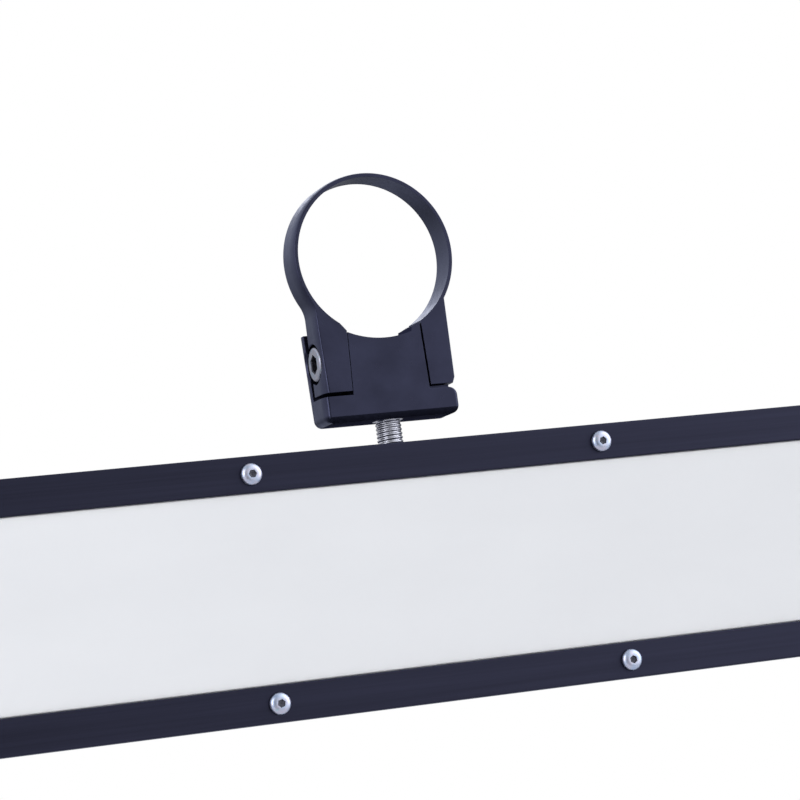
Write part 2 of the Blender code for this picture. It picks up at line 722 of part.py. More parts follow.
def make_panel(parent):
    """What lies behind the window: diffuser, gasket, reflector and back plate."""
    width = BAR_LENGTH - 2 * DIFFUSER_EDGE
    height = BAR_HEIGHT - 2 * DIFFUSER_EDGE
    middle = (BAR_CENTRE, RAIL_FRONT + DIFFUSER_THICKNESS / 2, BAR_MIDDLE)
    add("diffuser", box_mesh("diffuser", (width, DIFFUSER_THICKNESS, height)), parent, middle, "up", OPAL)

    inner = rectangle(width - 2 * GASKET_WIDTH, height - 2 * GASKET_WIDTH)
    gasket = sheet_mesh("gasket", [rectangle(width, height), inner], GASKET_THICKNESS)
    add("gasket", gasket, parent, (BAR_CENTRE, GASKET_BACK - GASKET_THICKNESS / 2, BAR_MIDDLE), "front", FOAM)

    chamber = RAIL_HEIGHT + FIT
    sheet = [rectangle(BAR_LENGTH - 2 * chamber, BAR_HEIGHT - 2 * chamber)]
    for row in range(LED_ROWS):
        slot = rectangle(LED_BOARD_LENGTH + 2 * FIT, LED_BOARD_WIDTH + 2 * FIT)
        sheet.append([(x, z + led_row_height(row)) for x, z in slot])
    inlet = (INLET_X - BAR_CENTRE, inlet_height() - BAR_MIDDLE)
    sheet.append(arc(inlet, INLET_BODY_DIAMETER / 2 + FIT, 0, 342, 18))
    reflector = sheet_mesh("reflector", sheet, REFLECTOR_THICKNESS)
    y = RAIL_BACK - REFLECTOR_THICKNESS / 2
    add("reflector", reflector, parent, (BAR_CENTRE, y, BAR_MIDDLE), "front", WHITE_FILM)

    plate = box_mesh("back_plate", (BAR_LENGTH, BACK_THICKNESS, BAR_HEIGHT))
    place = (BAR_CENTRE, BAR_BACK - BACK_THICKNESS / 2, BAR_MIDDLE)
    back = add("back_plate", plate, parent, place, "up", BLACK_RAIL)
    round_edges(back, BEZEL_EDGE_ROUND, 1)
    bore = INLET_BODY_DIAMETER + 2 * FIT
    start = (INLET_X, RAIL_BACK, inlet_height())
    hole(back, "back_inlet_hole", bore, 2 * BACK_THICKNESS, start, "back", parent)
    return back


def led_row_height(row):
    """A row's height from the middle of the window."""
    return LED_ROW_PITCH * ((LED_ROWS - 1) / 2 - row)


def inlet_height():
    """The inlet sits between the two upper rows."""
    return BAR_MIDDLE + led_row_height(0) - LED_ROW_PITCH / 2


def make_led_boards(parent):
    """Boards on the back plate's face, each with its row of LEDs."""
    y = RAIL_BACK - LED_BOARD_THICKNESS / 2
    for row in range(LED_ROWS):
        name = f"led_board_{row + 1}"
        z = BAR_MIDDLE + led_row_height(row)
        mesh = box_mesh(name, (LED_BOARD_LENGTH, LED_BOARD_THICKNESS, LED_BOARD_WIDTH))
        board = add(name, mesh, parent, (BAR_CENTRE, y, z), "up", BOARD_WHITE)
        boolean(board, add_cutter(f"leds_{row + 1}", led_row_mesh(), parent, (BAR_CENTRE, y, z)), "UNION")


def led_row_mesh():
    """The LED packages of one board, standing on its front face with their feet sunk in it."""
    shape = bmesh.new()
    tall = LED_HEIGHT + LED_BOARD_THICKNESS / 2
    for i in range(LEDS_A_BOARD):
        x = LED_PITCH * (i - (LEDS_A_BOARD - 1) / 2)
        package = bmesh.ops.create_cube(shape, size=1.0)["verts"]
        bmesh.ops.scale(shape, vec=(LED_LENGTH, tall, LED_WIDTH), verts=package)
        bmesh.ops.translate(shape, vec=(x, -tall / 2, 0), verts=package)
    mesh = bpy.data.meshes.new("leds")
    shape.to_mesh(mesh)
    shape.free()
    return mesh


def make_inlet(parent):
    """A round supply inlet through the back plate, with its nut inside."""
    z = inlet_height()
    body = INLET_BODY_DIAMETER / 2
    flange = INLET_FLANGE_DIAMETER / 2
    bore = INLET_SOCKET_DIAMETER / 2
    pin = INLET_PIN_DIAMETER / 2
    floor = INLET_FLANGE_THICKNESS - INLET_SOCKET_DEPTH
    profile = [
        (0, 0),
        (pin, 0),
        (pin, floor),
        (bore, floor),
        (bore, INLET_FLANGE_THICKNESS),
        (flange, INLET_FLANGE_THICKNESS),
        (flange, 0),
        (body, 0),
        (body, -INLET_BODY_LENGTH),
        (0, -INLET_BODY_LENGTH),
    ]
    turned("dc_inlet", profile, INLET_BLACK, parent, (INLET_X, BAR_BACK + FIT, z), "back", HOLE_SIDES)

    nut = hex_mesh("dc_inlet_nut", INLET_NUT_SIZE, INLET_NUT_THICKNESS)
    seat = RAIL_BACK - REFLECTOR_THICKNESS - FIT
    made = add("dc_inlet_nut", nut, parent, (INLET_X, seat, z), "front_on_flat", ZINC)
    start = (INLET_X, seat + INLET_NUT_THICKNESS, z)
    hole(made, "nut_bore", INLET_BODY_DIAMETER + 2 * FIT, 4 * INLET_NUT_THICKNESS, start, "front", parent)


def lead(name, start, end, swing, parent):
    """A wire that leaves one face forwards, swings across, and comes back to another."""
    curve = bpy.data.curves.new(name, "CURVE")
    curve.dimensions = "3D"
    curve.bevel_depth = LEAD_DIAMETER / 2
    curve.bevel_resolution = 1
    curve.use_fill_caps = True
    spline = curve.splines.new("POLY")
    spline.points.add(LEAD_POINTS - 1)
    for i, point in enumerate(spline.points):
        share = i / (LEAD_POINTS - 1)
        eased = share * share * (3 - 2 * share)
        x = start[0] + (end[0] - start[0]) * eased
        forward = (start[1] - swing) * 3 * share * (1 - share)
        y = start[1] * (1 - share) ** 3 + forward + end[1] * share**3
        z = start[2] + (end[2] - start[2]) * eased
        point.co = (x, y, z, 1)
    add(name, solid_from_curve(bpy.data.objects.new(name + "_route", curve)), parent, looks=LEAD_JACKET)


def make_leads(parent):
    """Two leads from the inlet's tags to the upper boards, and a jumper on to the lowest."""
    z = inlet_height()
    tags = BAR_BACK + FIT - INLET_BODY_LENGTH - FIT
    pads = RAIL_BACK - LED_BOARD_THICKNESS - FIT
    for name, way, row in (("supply_lead_upper", 1, 0), ("supply_lead_lower", -1, 1)):
        edge = BAR_MIDDLE + led_row_height(row) - way * (LED_BOARD_WIDTH / 2 - LEAD_PAD_INSET)
        tag = (INLET_X, tags, z + way * LEAD_TAG_SPREAD)
        lead(name, tag, (LEAD_PADS_X + LEAD_PAD_SPREAD, pads, edge), LEAD_SWING, parent)
    jumper_x = LEAD_PADS_X - LEAD_PAD_SPREAD
    for row in range(1, LED_ROWS - 1):
        high = BAR_MIDDLE + led_row_height(row) - LED_BOARD_WIDTH / 2 + LEAD_PAD_INSET
        low = BAR_MIDDLE + led_row_height(row + 1) + LED_BOARD_WIDTH / 2 - LEAD_PAD_INSET
        lead(f"board_jumper_{row}", (jumper_x, pads, high), (jumper_x, pads, low), JUMPER_SWING, parent)


def make_fasteners(rails, bezels, back, parent):
    """Every screw of the bar, and the hole that it sits in."""
    under_head = BAR_FRONT - FIT
    bore = BEZEL_SCREW_DIAMETER + 2 * FIT
    deep = BEZEL_SCREW_LENGTH + 2 * FIT
    for name, rail, x, z in bezel_screw_places():
        place = (x, under_head, z)
        screw = turned(f"bezel_screw_{name}", dome_profile(), ZINC, parent, place, "front")
        socket(screw, BEZEL_HEX, BEZEL_HEAD_HEIGHT, BEZEL_HEX_DEPTH)
        for target in (bezels[rail], rails[rail]):
            place = (x, under_head - FIT, z)
            hole(target, f"{target.name}_hole_{name}", bore, deep, place, "back", parent, SMALL_HOLE_SIDES)

    for name, rail, x, z in back_screw_places():
        place = (x, BAR_BACK, z)
        screw = turned(f"back_screw_{name}", countersunk_profile(), STAINLESS, parent, place, "back")
        socket(screw, BACK_HEX, 0, BACK_HEX_DEPTH)
        sink = profile_mesh(f"countersink_{name}", countersunk_profile(FIT))
        tool = turn(add_cutter(sink.name, sink, parent, place, "back"), SMALL_HOLE_SIDES)
        for target in (back, rails[rail]):
            boolean(target, tool)

    bore = CORNER_SCREW_DIAMETER + 2 * FIT
    deep = 2 * (CORNER_SCREW_LENGTH + CORNER_HEAD_HEIGHT)
    for name, long_rail, end_rail, x, face, facing in corner_screw_places():
        inward = -1 if facing == "up" else 1
        seat = face + inward * (CORNER_HEAD_HEIGHT + FIT)
        profile = cap_profile(
            CORNER_HEAD_DIAMETER, CORNER_HEAD_HEIGHT, CORNER_SCREW_DIAMETER, CORNER_SCREW_LENGTH, FIT
        )
        screw = turned(f"corner_screw_{name}", profile, STAINLESS, parent, (x, 0, seat), facing)
        socket(screw, CORNER_HEX, CORNER_HEAD_HEIGHT, CORNER_HEX_DEPTH)
        long_name = f"corner_sink_{name}"
        wide = CORNER_HEAD_DIAMETER + 2 * FIT
        sunk = (x, 0, seat + inward * FIT)
        hole(rails[long_rail], long_name, wide, 2 * CORNER_HEAD_HEIGHT, sunk, facing, parent)
        tip = (x, 0, seat + inward * (CORNER_SCREW_LENGTH + FIT))
        for target in (rails[long_rail], rails[end_rail]):
            hole(target, f"{target.name}_corner_{name}", bore, deep, tip, facing, parent, SMALL_HOLE_SIDES)


def make_stud(rails, parent):
    """The threaded stud, fixed in the top rail."""
    radius = STUD_DIAMETER / 2
    top = STUD_LENGTH - STUD_IN_RAIL
    profile = [
        (0, top),
        (radius - STUD_CHAMFER, top),
        (radius, top - STUD_CHAMFER),
        (radius, STUD_CHAMFER - STUD_IN_RAIL),
        (radius - STUD_CHAMFER, -STUD_IN_RAIL),
        (0, -STUD_IN_RAIL),
    ]
    turned("mounting_stud", profile, STAINLESS, parent, (0, 0, 0), "up", BOLT_STEPS)
    depth = STUD_IN_RAIL + FIT
    bore = STUD_DIAMETER + 2 * FIT
    hole(rails["top"], "rail_stud_hole", bore, 2 * depth, (0, 0, -depth), "up", parent, BORE_SIDES)


def make_light_bar(parent):
    rails = make_rails(parent)
    bezels = make_bezels(parent)
    back = make_panel(parent)
    make_led_boards(parent)
    make_inlet(parent)
    make_leads(parent)
    make_fasteners(rails, bezels, back, parent)
    make_stud(rails, parent)


make_clamp(pivot("tube_axis", (0, 0, 0)))
make_light_bar(pivot("stud_axis", (0, 0, BAR_TOP)))
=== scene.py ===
"""The looks of a light bar that hangs under a round tube by a ring clamp and one threaded stud.

Metres, in the frame of the CAD model: the origin is on the tube's axis, straight above the stud.
Pieces are made where they stand, so an object's own coordinates are the model's.
"""

import json
import math

import bmesh
import bpy
from mathutils import Matrix, Vector

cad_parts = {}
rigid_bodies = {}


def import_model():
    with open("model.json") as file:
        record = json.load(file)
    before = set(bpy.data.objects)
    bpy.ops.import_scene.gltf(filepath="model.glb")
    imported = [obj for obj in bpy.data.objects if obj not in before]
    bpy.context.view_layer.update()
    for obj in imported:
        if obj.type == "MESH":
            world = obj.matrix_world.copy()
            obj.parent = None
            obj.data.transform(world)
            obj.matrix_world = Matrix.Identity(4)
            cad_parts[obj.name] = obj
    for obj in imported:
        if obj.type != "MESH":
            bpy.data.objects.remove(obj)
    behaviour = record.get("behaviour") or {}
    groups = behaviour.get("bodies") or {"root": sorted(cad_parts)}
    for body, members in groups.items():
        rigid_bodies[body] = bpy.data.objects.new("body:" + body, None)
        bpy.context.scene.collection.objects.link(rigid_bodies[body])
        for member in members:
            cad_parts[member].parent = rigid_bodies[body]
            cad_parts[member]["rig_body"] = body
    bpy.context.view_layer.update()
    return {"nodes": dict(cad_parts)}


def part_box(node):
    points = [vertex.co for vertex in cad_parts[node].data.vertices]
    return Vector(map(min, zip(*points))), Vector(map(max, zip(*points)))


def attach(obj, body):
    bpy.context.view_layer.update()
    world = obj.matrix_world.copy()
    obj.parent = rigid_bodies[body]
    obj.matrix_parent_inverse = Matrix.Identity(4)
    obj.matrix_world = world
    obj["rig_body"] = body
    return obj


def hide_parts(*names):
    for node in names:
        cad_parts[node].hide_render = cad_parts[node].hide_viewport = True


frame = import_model()
nodes = frame["nodes"]

# Clamp ring and block
TUBE_RADIUS = 0.030
STRAP_THICKNESS = 0.0020
LEG_OUTER = 0.0264
NECK_RADIUS = 0.012
LEG_TIP_CLEARANCE = 0.0013
LEG_TIP_CUT = 0.0024
LEG_CORNER_CUT = 0.0009
LEG_CORNER_RISE = 0.0022
SEAT_GAP = 0.0003
CLAMP_GAP = 0.0008
UPRIGHT_TOP_WIDTH = 0.0290
UPRIGHT_FOOT_WIDTH = 0.0304
BASE_GAP = 0.0015
BASE_END_ROUND = 0.0030
BASE_FRONT_CHAMFER = 0.0022
SADDLE_CLEARANCE = 0.0013
SADDLE_RADIUS = 0.0355
HORN_CLEARANCE = 0.00015
HORN_WIDTH = 0.0032
HORN_STEP = 0.0003
LEDGE_SET_BACK = 0.0028
REAR_WALL_THICKNESS = 0.0027
REAR_WALL_OVERHANG = 0.0003
REAR_WALL_RISE = 0.0037
REAR_WALL_TAPER = 0.0010
STUD_HOLE_CHAMFER = 0.0006

# Rounding of the clamp's edges: large on its outer sides, small elsewhere
STRAP_FRONT_ROUND = 0.0050
STRAP_FRONT_SHARE = 0.18
LEG_ROUND_GROWTH = 2.4
STRAP_BACK_ROUND = 0.0015
STRAP_SET_FORWARD = 0.0011
BASE_FRONT_ROUND = 0.0045
BASE_FRONT_SHARE = 0.42
BASE_BACK_ROUND = 0.0022
WALL_EDGE_ROUND = 0.0005
SMALL_EDGE_ROUND = 0.00025

# Facets along the clamp's curves
RING_INSIDE_STEPS = 180
RING_OUTSIDE_STEPS = 160
NECK_STEPS = 24
BASE_CORNER_STEPS = 15
HORN_STEPS = 6
SADDLE_STEPS = 36
WALL_STEPS = 60

# Clamp screw
CLAMP_HEAD_HEIGHT = 0.008
CLAMP_HEAD_RADIUS = 0.0065
CLAMP_HEAD_EDGE = 0.0009
CLAMP_SHANK_RADIUS = 0.004
CLAMP_THREAD_PITCH = 0.00125
CLAMP_HEX = 0.006
CLAMP_HEX_DEPTH = 0.004
COUNTERBORE_RADIUS = 0.0075
COUNTERBORE_LIP = 0.0003
COUNTERBORE_OVERRUN = 0.003
SCREW_HOLE_RADIUS = 0.0045

# Stud
STUD_RADIUS = 0.0049
STUD_PITCH = 0.0015
STUD_THREAD_DEPTH = 0.00040
STUD_END_CUT = 0.0008

# Small screws: each socket is turned some degrees past the one before
BEZEL_HEX = 0.0025
BEZEL_HEX_DEPTH = 0.0013
BEZEL_DOME_FLAT = 0.7 * BEZEL_HEX
BEZEL_DOME_STEPS = 12
BEZEL_HEAD_RIM = 0.0005
BEZEL_RIM_CUT = 0.0001
BEZEL_SHANK_RADIUS = 0.002
BEZEL_THREAD_PITCH = 0.0007
BEZEL_TURN_STEP = 17
BACK_HEX = 0.002
BACK_HEX_DEPTH = 0.0009
BACK_HEAD_HEIGHT = 0.0016
BACK_RIM_CUT = 0.0002
BACK_SHANK_RADIUS = 0.0015
BACK_THREAD_PITCH = 0.0005
BACK_TURN_STEP = 23
CORNER_HEX = 0.003
CORNER_HEX_DEPTH = 0.002
CORNER_HEAD_HEIGHT = 0.004
CORNER_HEAD_EDGE = 0.0004
CORNER_SHANK_RADIUS = 0.002
CORNER_THREAD_PITCH = 0.0007
CORNER_TURN_STEP = 31

# Sockets, as shares of the hex's width, and shanks, as shares of the thread's pitch
SOCKET_LEAD_IN = 0.06
SOCKET_POINT = 0.25
SHANK_THREAD_DEPTH = 0.6134
SHANK_END_CUT = 0.7

# The gap between a head and its shank, and the facets of a thread's form and of a rounded rim
SHANK_GAP = 0.0001
THREAD_FORM_STEPS = 10
RIM_STEPS = 4

# Panel
PANEL_SET_BACK = 0.0004
PANEL_EDGE_ROUND = 0.0004

# LED boards: the phosphor shows on the front faces, and ends between these depths behind them
PHOSPHOR_NEAR = 0.00005
PHOSPHOR_FAR = 0.0001

# Supply inlet
INLET_FLANGE_THICKNESS = 0.0015
INLET_BODY_RADIUS = 0.004
INLET_SOCKET_RADIUS = 0.00275
INLET_SOCKET_DEPTH = 0.009
INLET_EDGE_ROUND = 0.0004
INLET_PIN_RADIUS = 0.001
INLET_PIN_CUT = 0.0003

# A hair's width, for tests of place, and how near two points count as one
HAIR = 1e-5
MERGE_DISTANCE = 1e-7

# Camera: where it stands about the clamp ring's front, and how it is turned
LENS_MM = 131.8
SENSOR_MM = 36
CLIP_START = 0.01
VIEW_AZIMUTH = math.radians(21.34)
VIEW_RISE = math.radians(6.53)
VIEW_ROLL = math.radians(7.51)
VIEW_DISTANCE = 1.0958
VIEW_ASIDE = -0.00966
VIEW_ABOVE = 0.05421

# Floor and lamps
FLOOR_HEIGHT = -0.45
FLOOR_RADIUS = 1.6
FLOOR_FADE_START = 0.4
FLOOR_STEPS = 96
LAMP_AIM = (0, 0, -0.09)

# Materials: the range most noise falls in, the blue tint of edges seen aslant, and the shaded edges' radius
NOISE_RANGE = (0.3, 0.7)
COOL_TINT = (0.80, 0.84, 1, 1)
SHADED_EDGE = 0.0002


# Node trees


class Tree:
    """Short ways to add nodes to a node tree."""

    def __init__(self, tree):
        self.tree = tree

    def node(self, kind, **inputs):
        """A node whose inputs are set by value, or linked where the value is another node's output."""
        made = self.tree.nodes.new("ShaderNode" + kind)
        for name, value in inputs.items():
            self.give(made.inputs[name.replace("_", " ")], value)
        return made

    def give(self, socket, value):
        """Sets an input, or links it to another node's output."""
        if isinstance(value, bpy.types.NodeSocket):
            self.tree.links.new(value, socket)
        else:
            socket.default_value = value

    def maths(self, operation, first, second):
        """One operation on two values."""
        made = self.tree.nodes.new("ShaderNodeMath")
        made.operation = operation
        self.give(made.inputs[0], first)
        self.give(made.inputs[1], second)
        return made.outputs[0]

    def weigh(self, first, share, second):
        """A share of one value with the rest of another."""
        part = self.maths("MULTIPLY", first, share)
        rest = self.maths("MULTIPLY", second, 1 - share)
        return self.maths("ADD", part, rest)

    def spread(self, value, source, result, kind="LINEAR"):
        """A value from one range to another, clamped."""
        made = self.node("MapRange", Value=value)
        made.interpolation_type = kind
        made.inputs["From Min"].default_value, made.inputs["From Max"].default_value = source
        made.inputs["To Min"].default_value, made.inputs["To Max"].default_value = result
        return made.outputs[0]


class Look(Tree):
    """A Principled material."""

    def __init__(self, name, colour, roughness, metallic=0.0, **constants):
        self.material = bpy.data.materials.new(name)
        self.material.use_nodes = True
        super().__init__(self.material.node_tree)
        self.shader = self.tree.nodes["Principled BSDF"]
        self.set("Base Color", (*colour, 1))
        self.set("Roughness", roughness)
        self.set("Metallic", metallic)
        for socket, value in constants.items():
            self.set(socket.replace("_", " "), value)
        self.coordinates = self.node("TexCoord").outputs["Object"]

    def set(self, socket, value):
        """Sets one of the shader's constants."""
        self.shader.inputs[socket].default_value = value

    def feed(self, output, socket):
        """Links a node's output to the shader."""
        self.tree.links.new(output, self.shader.inputs[socket])

    def noise(self, scale, detail=2.0, roughness=0.5, stretch=None):
        """Noise of so many cells a metre, drawn out where a stretch is given."""
        where = self.coordinates
        if stretch:
            where = self.node("Mapping", Vector=where, Scale=stretch).outputs[0]
        made = self.node("TexNoise", Vector=where, Scale=scale, Detail=detail, Roughness=roughness)
        return made.outputs["Fac"]

    def tint(self, value, *stops):
        """Feeds the colour: colours at places from 0 to 1 of a value."""
        made = self.node("ValToRGB", Fac=value)
        elements = made.color_ramp.elements
        while len(elements) < len(stops):
            elements.new(0.5)
        for element, (place, colour) in zip(elements, stops):
            element.position = place
            element.color = (*colour, 1)
        self.feed(made.outputs["Color"], "Base Color")

    def mottle(self, value, colour, share):
        """Feeds the colour: darker and lighter than a colour by a share as a value goes up."""
        low, high = NOISE_RANGE
        self.tint(value, (low, shade(colour, 1 - share)), (high, shade(colour, 1 + share)))

    def roughen(self, value, smoothest, roughest):
        """Feeds the roughness, which goes up with a value."""
        self.feed(self.spread(value, NOISE_RANGE, (smoothest, roughest)), "Roughness")

    def emboss(self, height, strength, distance, edge_radius=0.0):
        """Feeds the normal: a fine relief, and sharp edges shaded as round where a radius is given."""
        made = self.node("Bump", Height=height, Strength=strength, Distance=distance)
        if edge_radius:
            edges = self.node("Bevel", Radius=edge_radius)
            edges.samples = 4
            self.give(made.inputs["Normal"], edges.outputs[0])
        self.feed(made.outputs[0], "Normal")


def shade(colour, factor):
    """A colour made darker or lighter."""
    return tuple(channel * factor for channel in colour)


# Camera, light and floor


def make_camera():
    """The photograph's view: from the left and below, rolled a little."""
    forward = Vector(
        (
            math.sin(VIEW_AZIMUTH) * math.cos(VIEW_RISE),
            math.cos(VIEW_AZIMUTH) * math.cos(VIEW_RISE),
            math.sin(VIEW_RISE),
        )
    )
    level_right = Vector((math.cos(VIEW_AZIMUTH), -math.sin(VIEW_AZIMUTH), 0))
    level_up = level_right.cross(forward)
    right = level_right * math.cos(VIEW_ROLL) - level_up * math.sin(VIEW_ROLL)
    up = level_right * math.sin(VIEW_ROLL) + level_up * math.cos(VIEW_ROLL)
    ring_front = Vector((0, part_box("clamp_ring")[0].y, 0))
    place = ring_front - VIEW_ASIDE * right - VIEW_ABOVE * up - VIEW_DISTANCE * forward

    lens = bpy.data.cameras.new("photo_view")
    lens.lens = LENS_MM
    lens.sensor_width = SENSOR_MM
    lens.clip_start = CLIP_START
    camera = bpy.data.objects.new("photo_view", lens)
    bpy.context.scene.collection.objects.link(camera)
    turn = Matrix((right, up, -forward)).transposed().to_4x4()
    camera.matrix_world = Matrix.Translation(place) @ turn
    bpy.context.scene.camera = camera


def make_world():
    """White to the camera, and a pale even light. Reflections show a studio.

    The studio is bright in front to the right, softer at the left and above, dim behind and low down.
    """
    world = bpy.data.worlds.new("studio")
    bpy.context.scene.world = world
    world.use_nodes = True
    world.node_tree.nodes.clear()
    tree = Tree(world.node_tree)
    rays = tree.node("LightPath").outputs
    way = tree.node("SeparateXYZ", Vector=tree.node("TexCoord").outputs["Generated"]).outputs

    ahead = tree.spread(way["Y"], (-0.3, 0.5), (1.0, 0.0), "SMOOTHSTEP")
    behind = tree.maths("SUBTRACT", 1.0, ahead)
    front = tree.maths("MULTIPLY", ahead, tree.spread(way["X"], (0.0, 0.7), (0.20, 2.3)))
    back = tree.maths("MULTIPLY", behind, tree.spread(way["X"], (-0.45, 0.25), (0.72, 0.32)))
    left = tree.spread(way["X"], (-0.95, -0.45), (0.9, 0.0))
    height = tree.spread(way["Z"], (-0.45, 0.10), (0.30, 1.0), "SMOOTHSTEP")
    above = tree.spread(way["Z"], (0.05, 0.45), (0.0, 0.45), "SMOOTHSTEP")
    level = tree.maths("ADD", tree.maths("ADD", front, back), left)
    studio = tree.maths("ADD", tree.maths("MULTIPLY", level, height), above)

    shown = tree.maths("MAXIMUM", studio, rays["Is Camera Ray"])
    seen = tree.node("Background", Color=(1, 1, 1, 1), Strength=shown)
    light = tree.node("Background", Color=(0.97, 0.98, 1, 1), Strength=0.78)
    mirrored = tree.maths("MAXIMUM", rays["Is Glossy Ray"], rays["Is Transmission Ray"])
    viewed = tree.maths("MAXIMUM", rays["Is Camera Ray"], mirrored)
    mix = tree.node("MixShader", Fac=viewed)
    tree.give(mix.inputs[1], light.outputs[0])
    tree.give(mix.inputs[2], seen.outputs[0])
    tree.node("OutputWorld", Surface=mix.outputs[0])


def softbox(name, place, width, height, power):
    """A plain rectangular lamp that looks at the middle of the object."""
    lamp = bpy.data.lights.new(name, "AREA")
    lamp.shape = "RECTANGLE"
    lamp.size = width
    lamp.size_y = height
    lamp.energy = power
    made = bpy.data.objects.new(name, lamp)
    bpy.context.scene.collection.objects.link(made)
    made.location = place
    made.rotation_euler = (Vector(LAMP_AIM) - Vector(place)).to_track_quat("-Z", "Y").to_euler()


def make_lights():
    """A strong lamp at the left, a weaker one at the right, and a faint one behind."""
    softbox("key", (-1.15, -0.65, 0.25), width=0.60, height=0.90, power=7.4)
    softbox("behind", (0.34, 1.50, 0.58), width=0.5, height=0.5, power=1.1)
    softbox("fill", (1.2, -0.5, 0.3), width=0.6, height=0.8, power=3.4)


def make_floor():
    """A plain pale floor under the bar, which fades out round its edge."""
    shape = bmesh.new()
    bmesh.ops.create_circle(shape, cap_ends=True, segments=FLOOR_STEPS, radius=FLOOR_RADIUS)
    mesh = bpy.data.meshes.new("floor")
    shape.to_mesh(mesh)
    shape.free()
    floor = bpy.data.objects.new("floor", mesh)
    bpy.context.scene.collection.objects.link(floor)
    floor.location = (0, 0, FLOOR_HEIGHT)
    look = Look("floor_pale", (0.90, 0.90, 0.91), 0.9, Specular_IOR_Level=0.0)
    reach = look.node("VectorMath", Vector=look.coordinates)
    reach.operation = "LENGTH"
    fading = (FLOOR_FADE_START * FLOOR_RADIUS, FLOOR_RADIUS)
    look.feed(look.spread(reach.outputs["Value"], fading, (1.0, 0.0), "SMOOTHSTEP"), "Alpha")
    mesh.materials.append(look.material)


# Materials


def anodised_look(name, smoothest, roughest, tint):
    """Blue-black anodised aluminium, faintly mottled, with a fine blasted grain."""
    colour = (0.026, 0.028, 0.052)
    look = Look(name, colour, smoothest, metallic=0.92, Specular_Tint=tint)
    look.mottle(look.noise(90, 3.0), colour, 0.14)
    look.roughen(look.noise(350, 2.0), smoothest, roughest)
    look.emboss(look.noise(6000, 1.0), 0.12, 0.00004, SHADED_EDGE)
    return look.material


def drawn_look(name, colour, streak_strength):
    """Black anodised bar with streaks along its length."""
    look = Look(name, colour, 0.40, metallic=0.88, Specular_Tint=COOL_TINT)
    streaks = look.noise(1.0, 4.0, 0.65, stretch=(9, 900, 900))
    broad = look.noise(1.0, 2.0, 0.5, stretch=(4, 160, 160))
    look.mottle(look.weigh(streaks, 0.55, broad), colour, streak_strength)
    look.roughen(streaks, 0.34, 0.46)
    look.emboss(streaks, 0.15, 0.00003, SHADED_EDGE)
    return look.material


def zinc_look(name, share):
    """Zinc plate at a share of full brightness: blue-grey, with passivation's faint pink and green."""
    look = Look(name, shade((0.55, 0.62, 0.78), share), 0.30, metallic=1.0)
    tints = (
        (0.25, (0.46, 0.57, 0.80)),
        (0.45, (0.55, 0.62, 0.80)),
        (0.58, (0.63, 0.62, 0.77)),
        (0.75, (0.48, 0.62, 0.74)),
    )
    look.tint(look.noise(420, 2.0), *((place, shade(colour, share)) for place, colour in tints))
    look.roughen(look.noise(1600, 2.0), 0.33, 0.46)
    look.emboss(look.noise(5000, 2.0), 0.1, 0.00003)
    return look.material


def socket_shade_look(name, colour):
    """The inside of a hex socket: the same plate, darkened as painted shade of the recess, and mottled."""
    look = Look(name, colour, 0.5, metallic=0.7)
    look.mottle(look.noise(2500, 3.0), colour, 0.35)
    look.roughen(look.noise(1800, 2.0), 0.4, 0.6)
    return look.material


def stainless_look():
    """Rolled steel thread, dulled a little."""
    colour = (0.50, 0.51, 0.58)
    look = Look("stainless_fine", colour, 0.34, metallic=1.0)
    grain = look.noise(2200, 3.0)
    look.mottle(grain, colour, 0.15)
    look.roughen(look.noise(900, 2.0), 0.28, 0.42)
    look.emboss(grain, 0.12, 0.00003)
    return look.material


def opal_look():
    """Opal acrylic with its light off: a satin face, very faintly clouded, that light soaks into."""
    colour = (0.765, 0.775, 0.800)
    look = Look("opal_fine", colour, 0.42, Specular_IOR_Level=0.35)
    look.set("Subsurface Weight", 0.8)
    look.set("Subsurface Radius", (1, 1, 1))
    look.set("Subsurface Scale", 0.004)
    look.mottle(look.noise(1.0, 3.0, 0.5, stretch=(14, 14, 40)), colour, 0.012)
    look.roughen(look.noise(60, 2.0), 0.38, 0.46)
    look.emboss(look.noise(2500, 1.0), 0.04, 0.00003)
    return look.material


def film_look():
    """White reflector film, with a matte grain."""
    colour = (0.87, 0.87, 0.86)
    look = Look("film_fine", colour, 0.6)
    grain = look.noise(1800, 2.0)
    look.mottle(grain, colour, 0.04)
    look.emboss(grain, 0.1, 0.00004)
    return look.material


def foam_look():
    """Closed-cell foam: black, with open pores on its cut faces."""
    look = Look("foam_fine", (0.018, 0.018, 0.02), 0.9)
    cells = look.node("TexVoronoi", Vector=look.coordinates, Scale=1700.0).outputs["Distance"]
    look.tint(cells, (0.1, (0.008, 0.008, 0.009)), (0.6, (0.03, 0.03, 0.033)))
    look.emboss(cells, 0.5, 0.0001)
    return look.material


def moulded_look():
    """Black moulded plastic with a spark-eroded skin."""
    colour = (0.019, 0.019, 0.021)
    look = Look("moulded_fine", colour, 0.45)
    grain = look.noise(2600, 2.0)
    look.mottle(grain, colour, 0.25)
    look.roughen(grain, 0.38, 0.55)
    look.emboss(grain, 0.25, 0.00005)
    return look.material


def wire_look(name, colour):
    """Soft wire insulation, a little dusty."""
    look = Look(name, colour, 0.42)
    dust = look.noise(700, 3.0)
    look.tint(dust, (0.35, colour), (0.8, shade(colour, 1.35)))
    look.emboss(dust, 0.08, 0.00005)
    return look.material


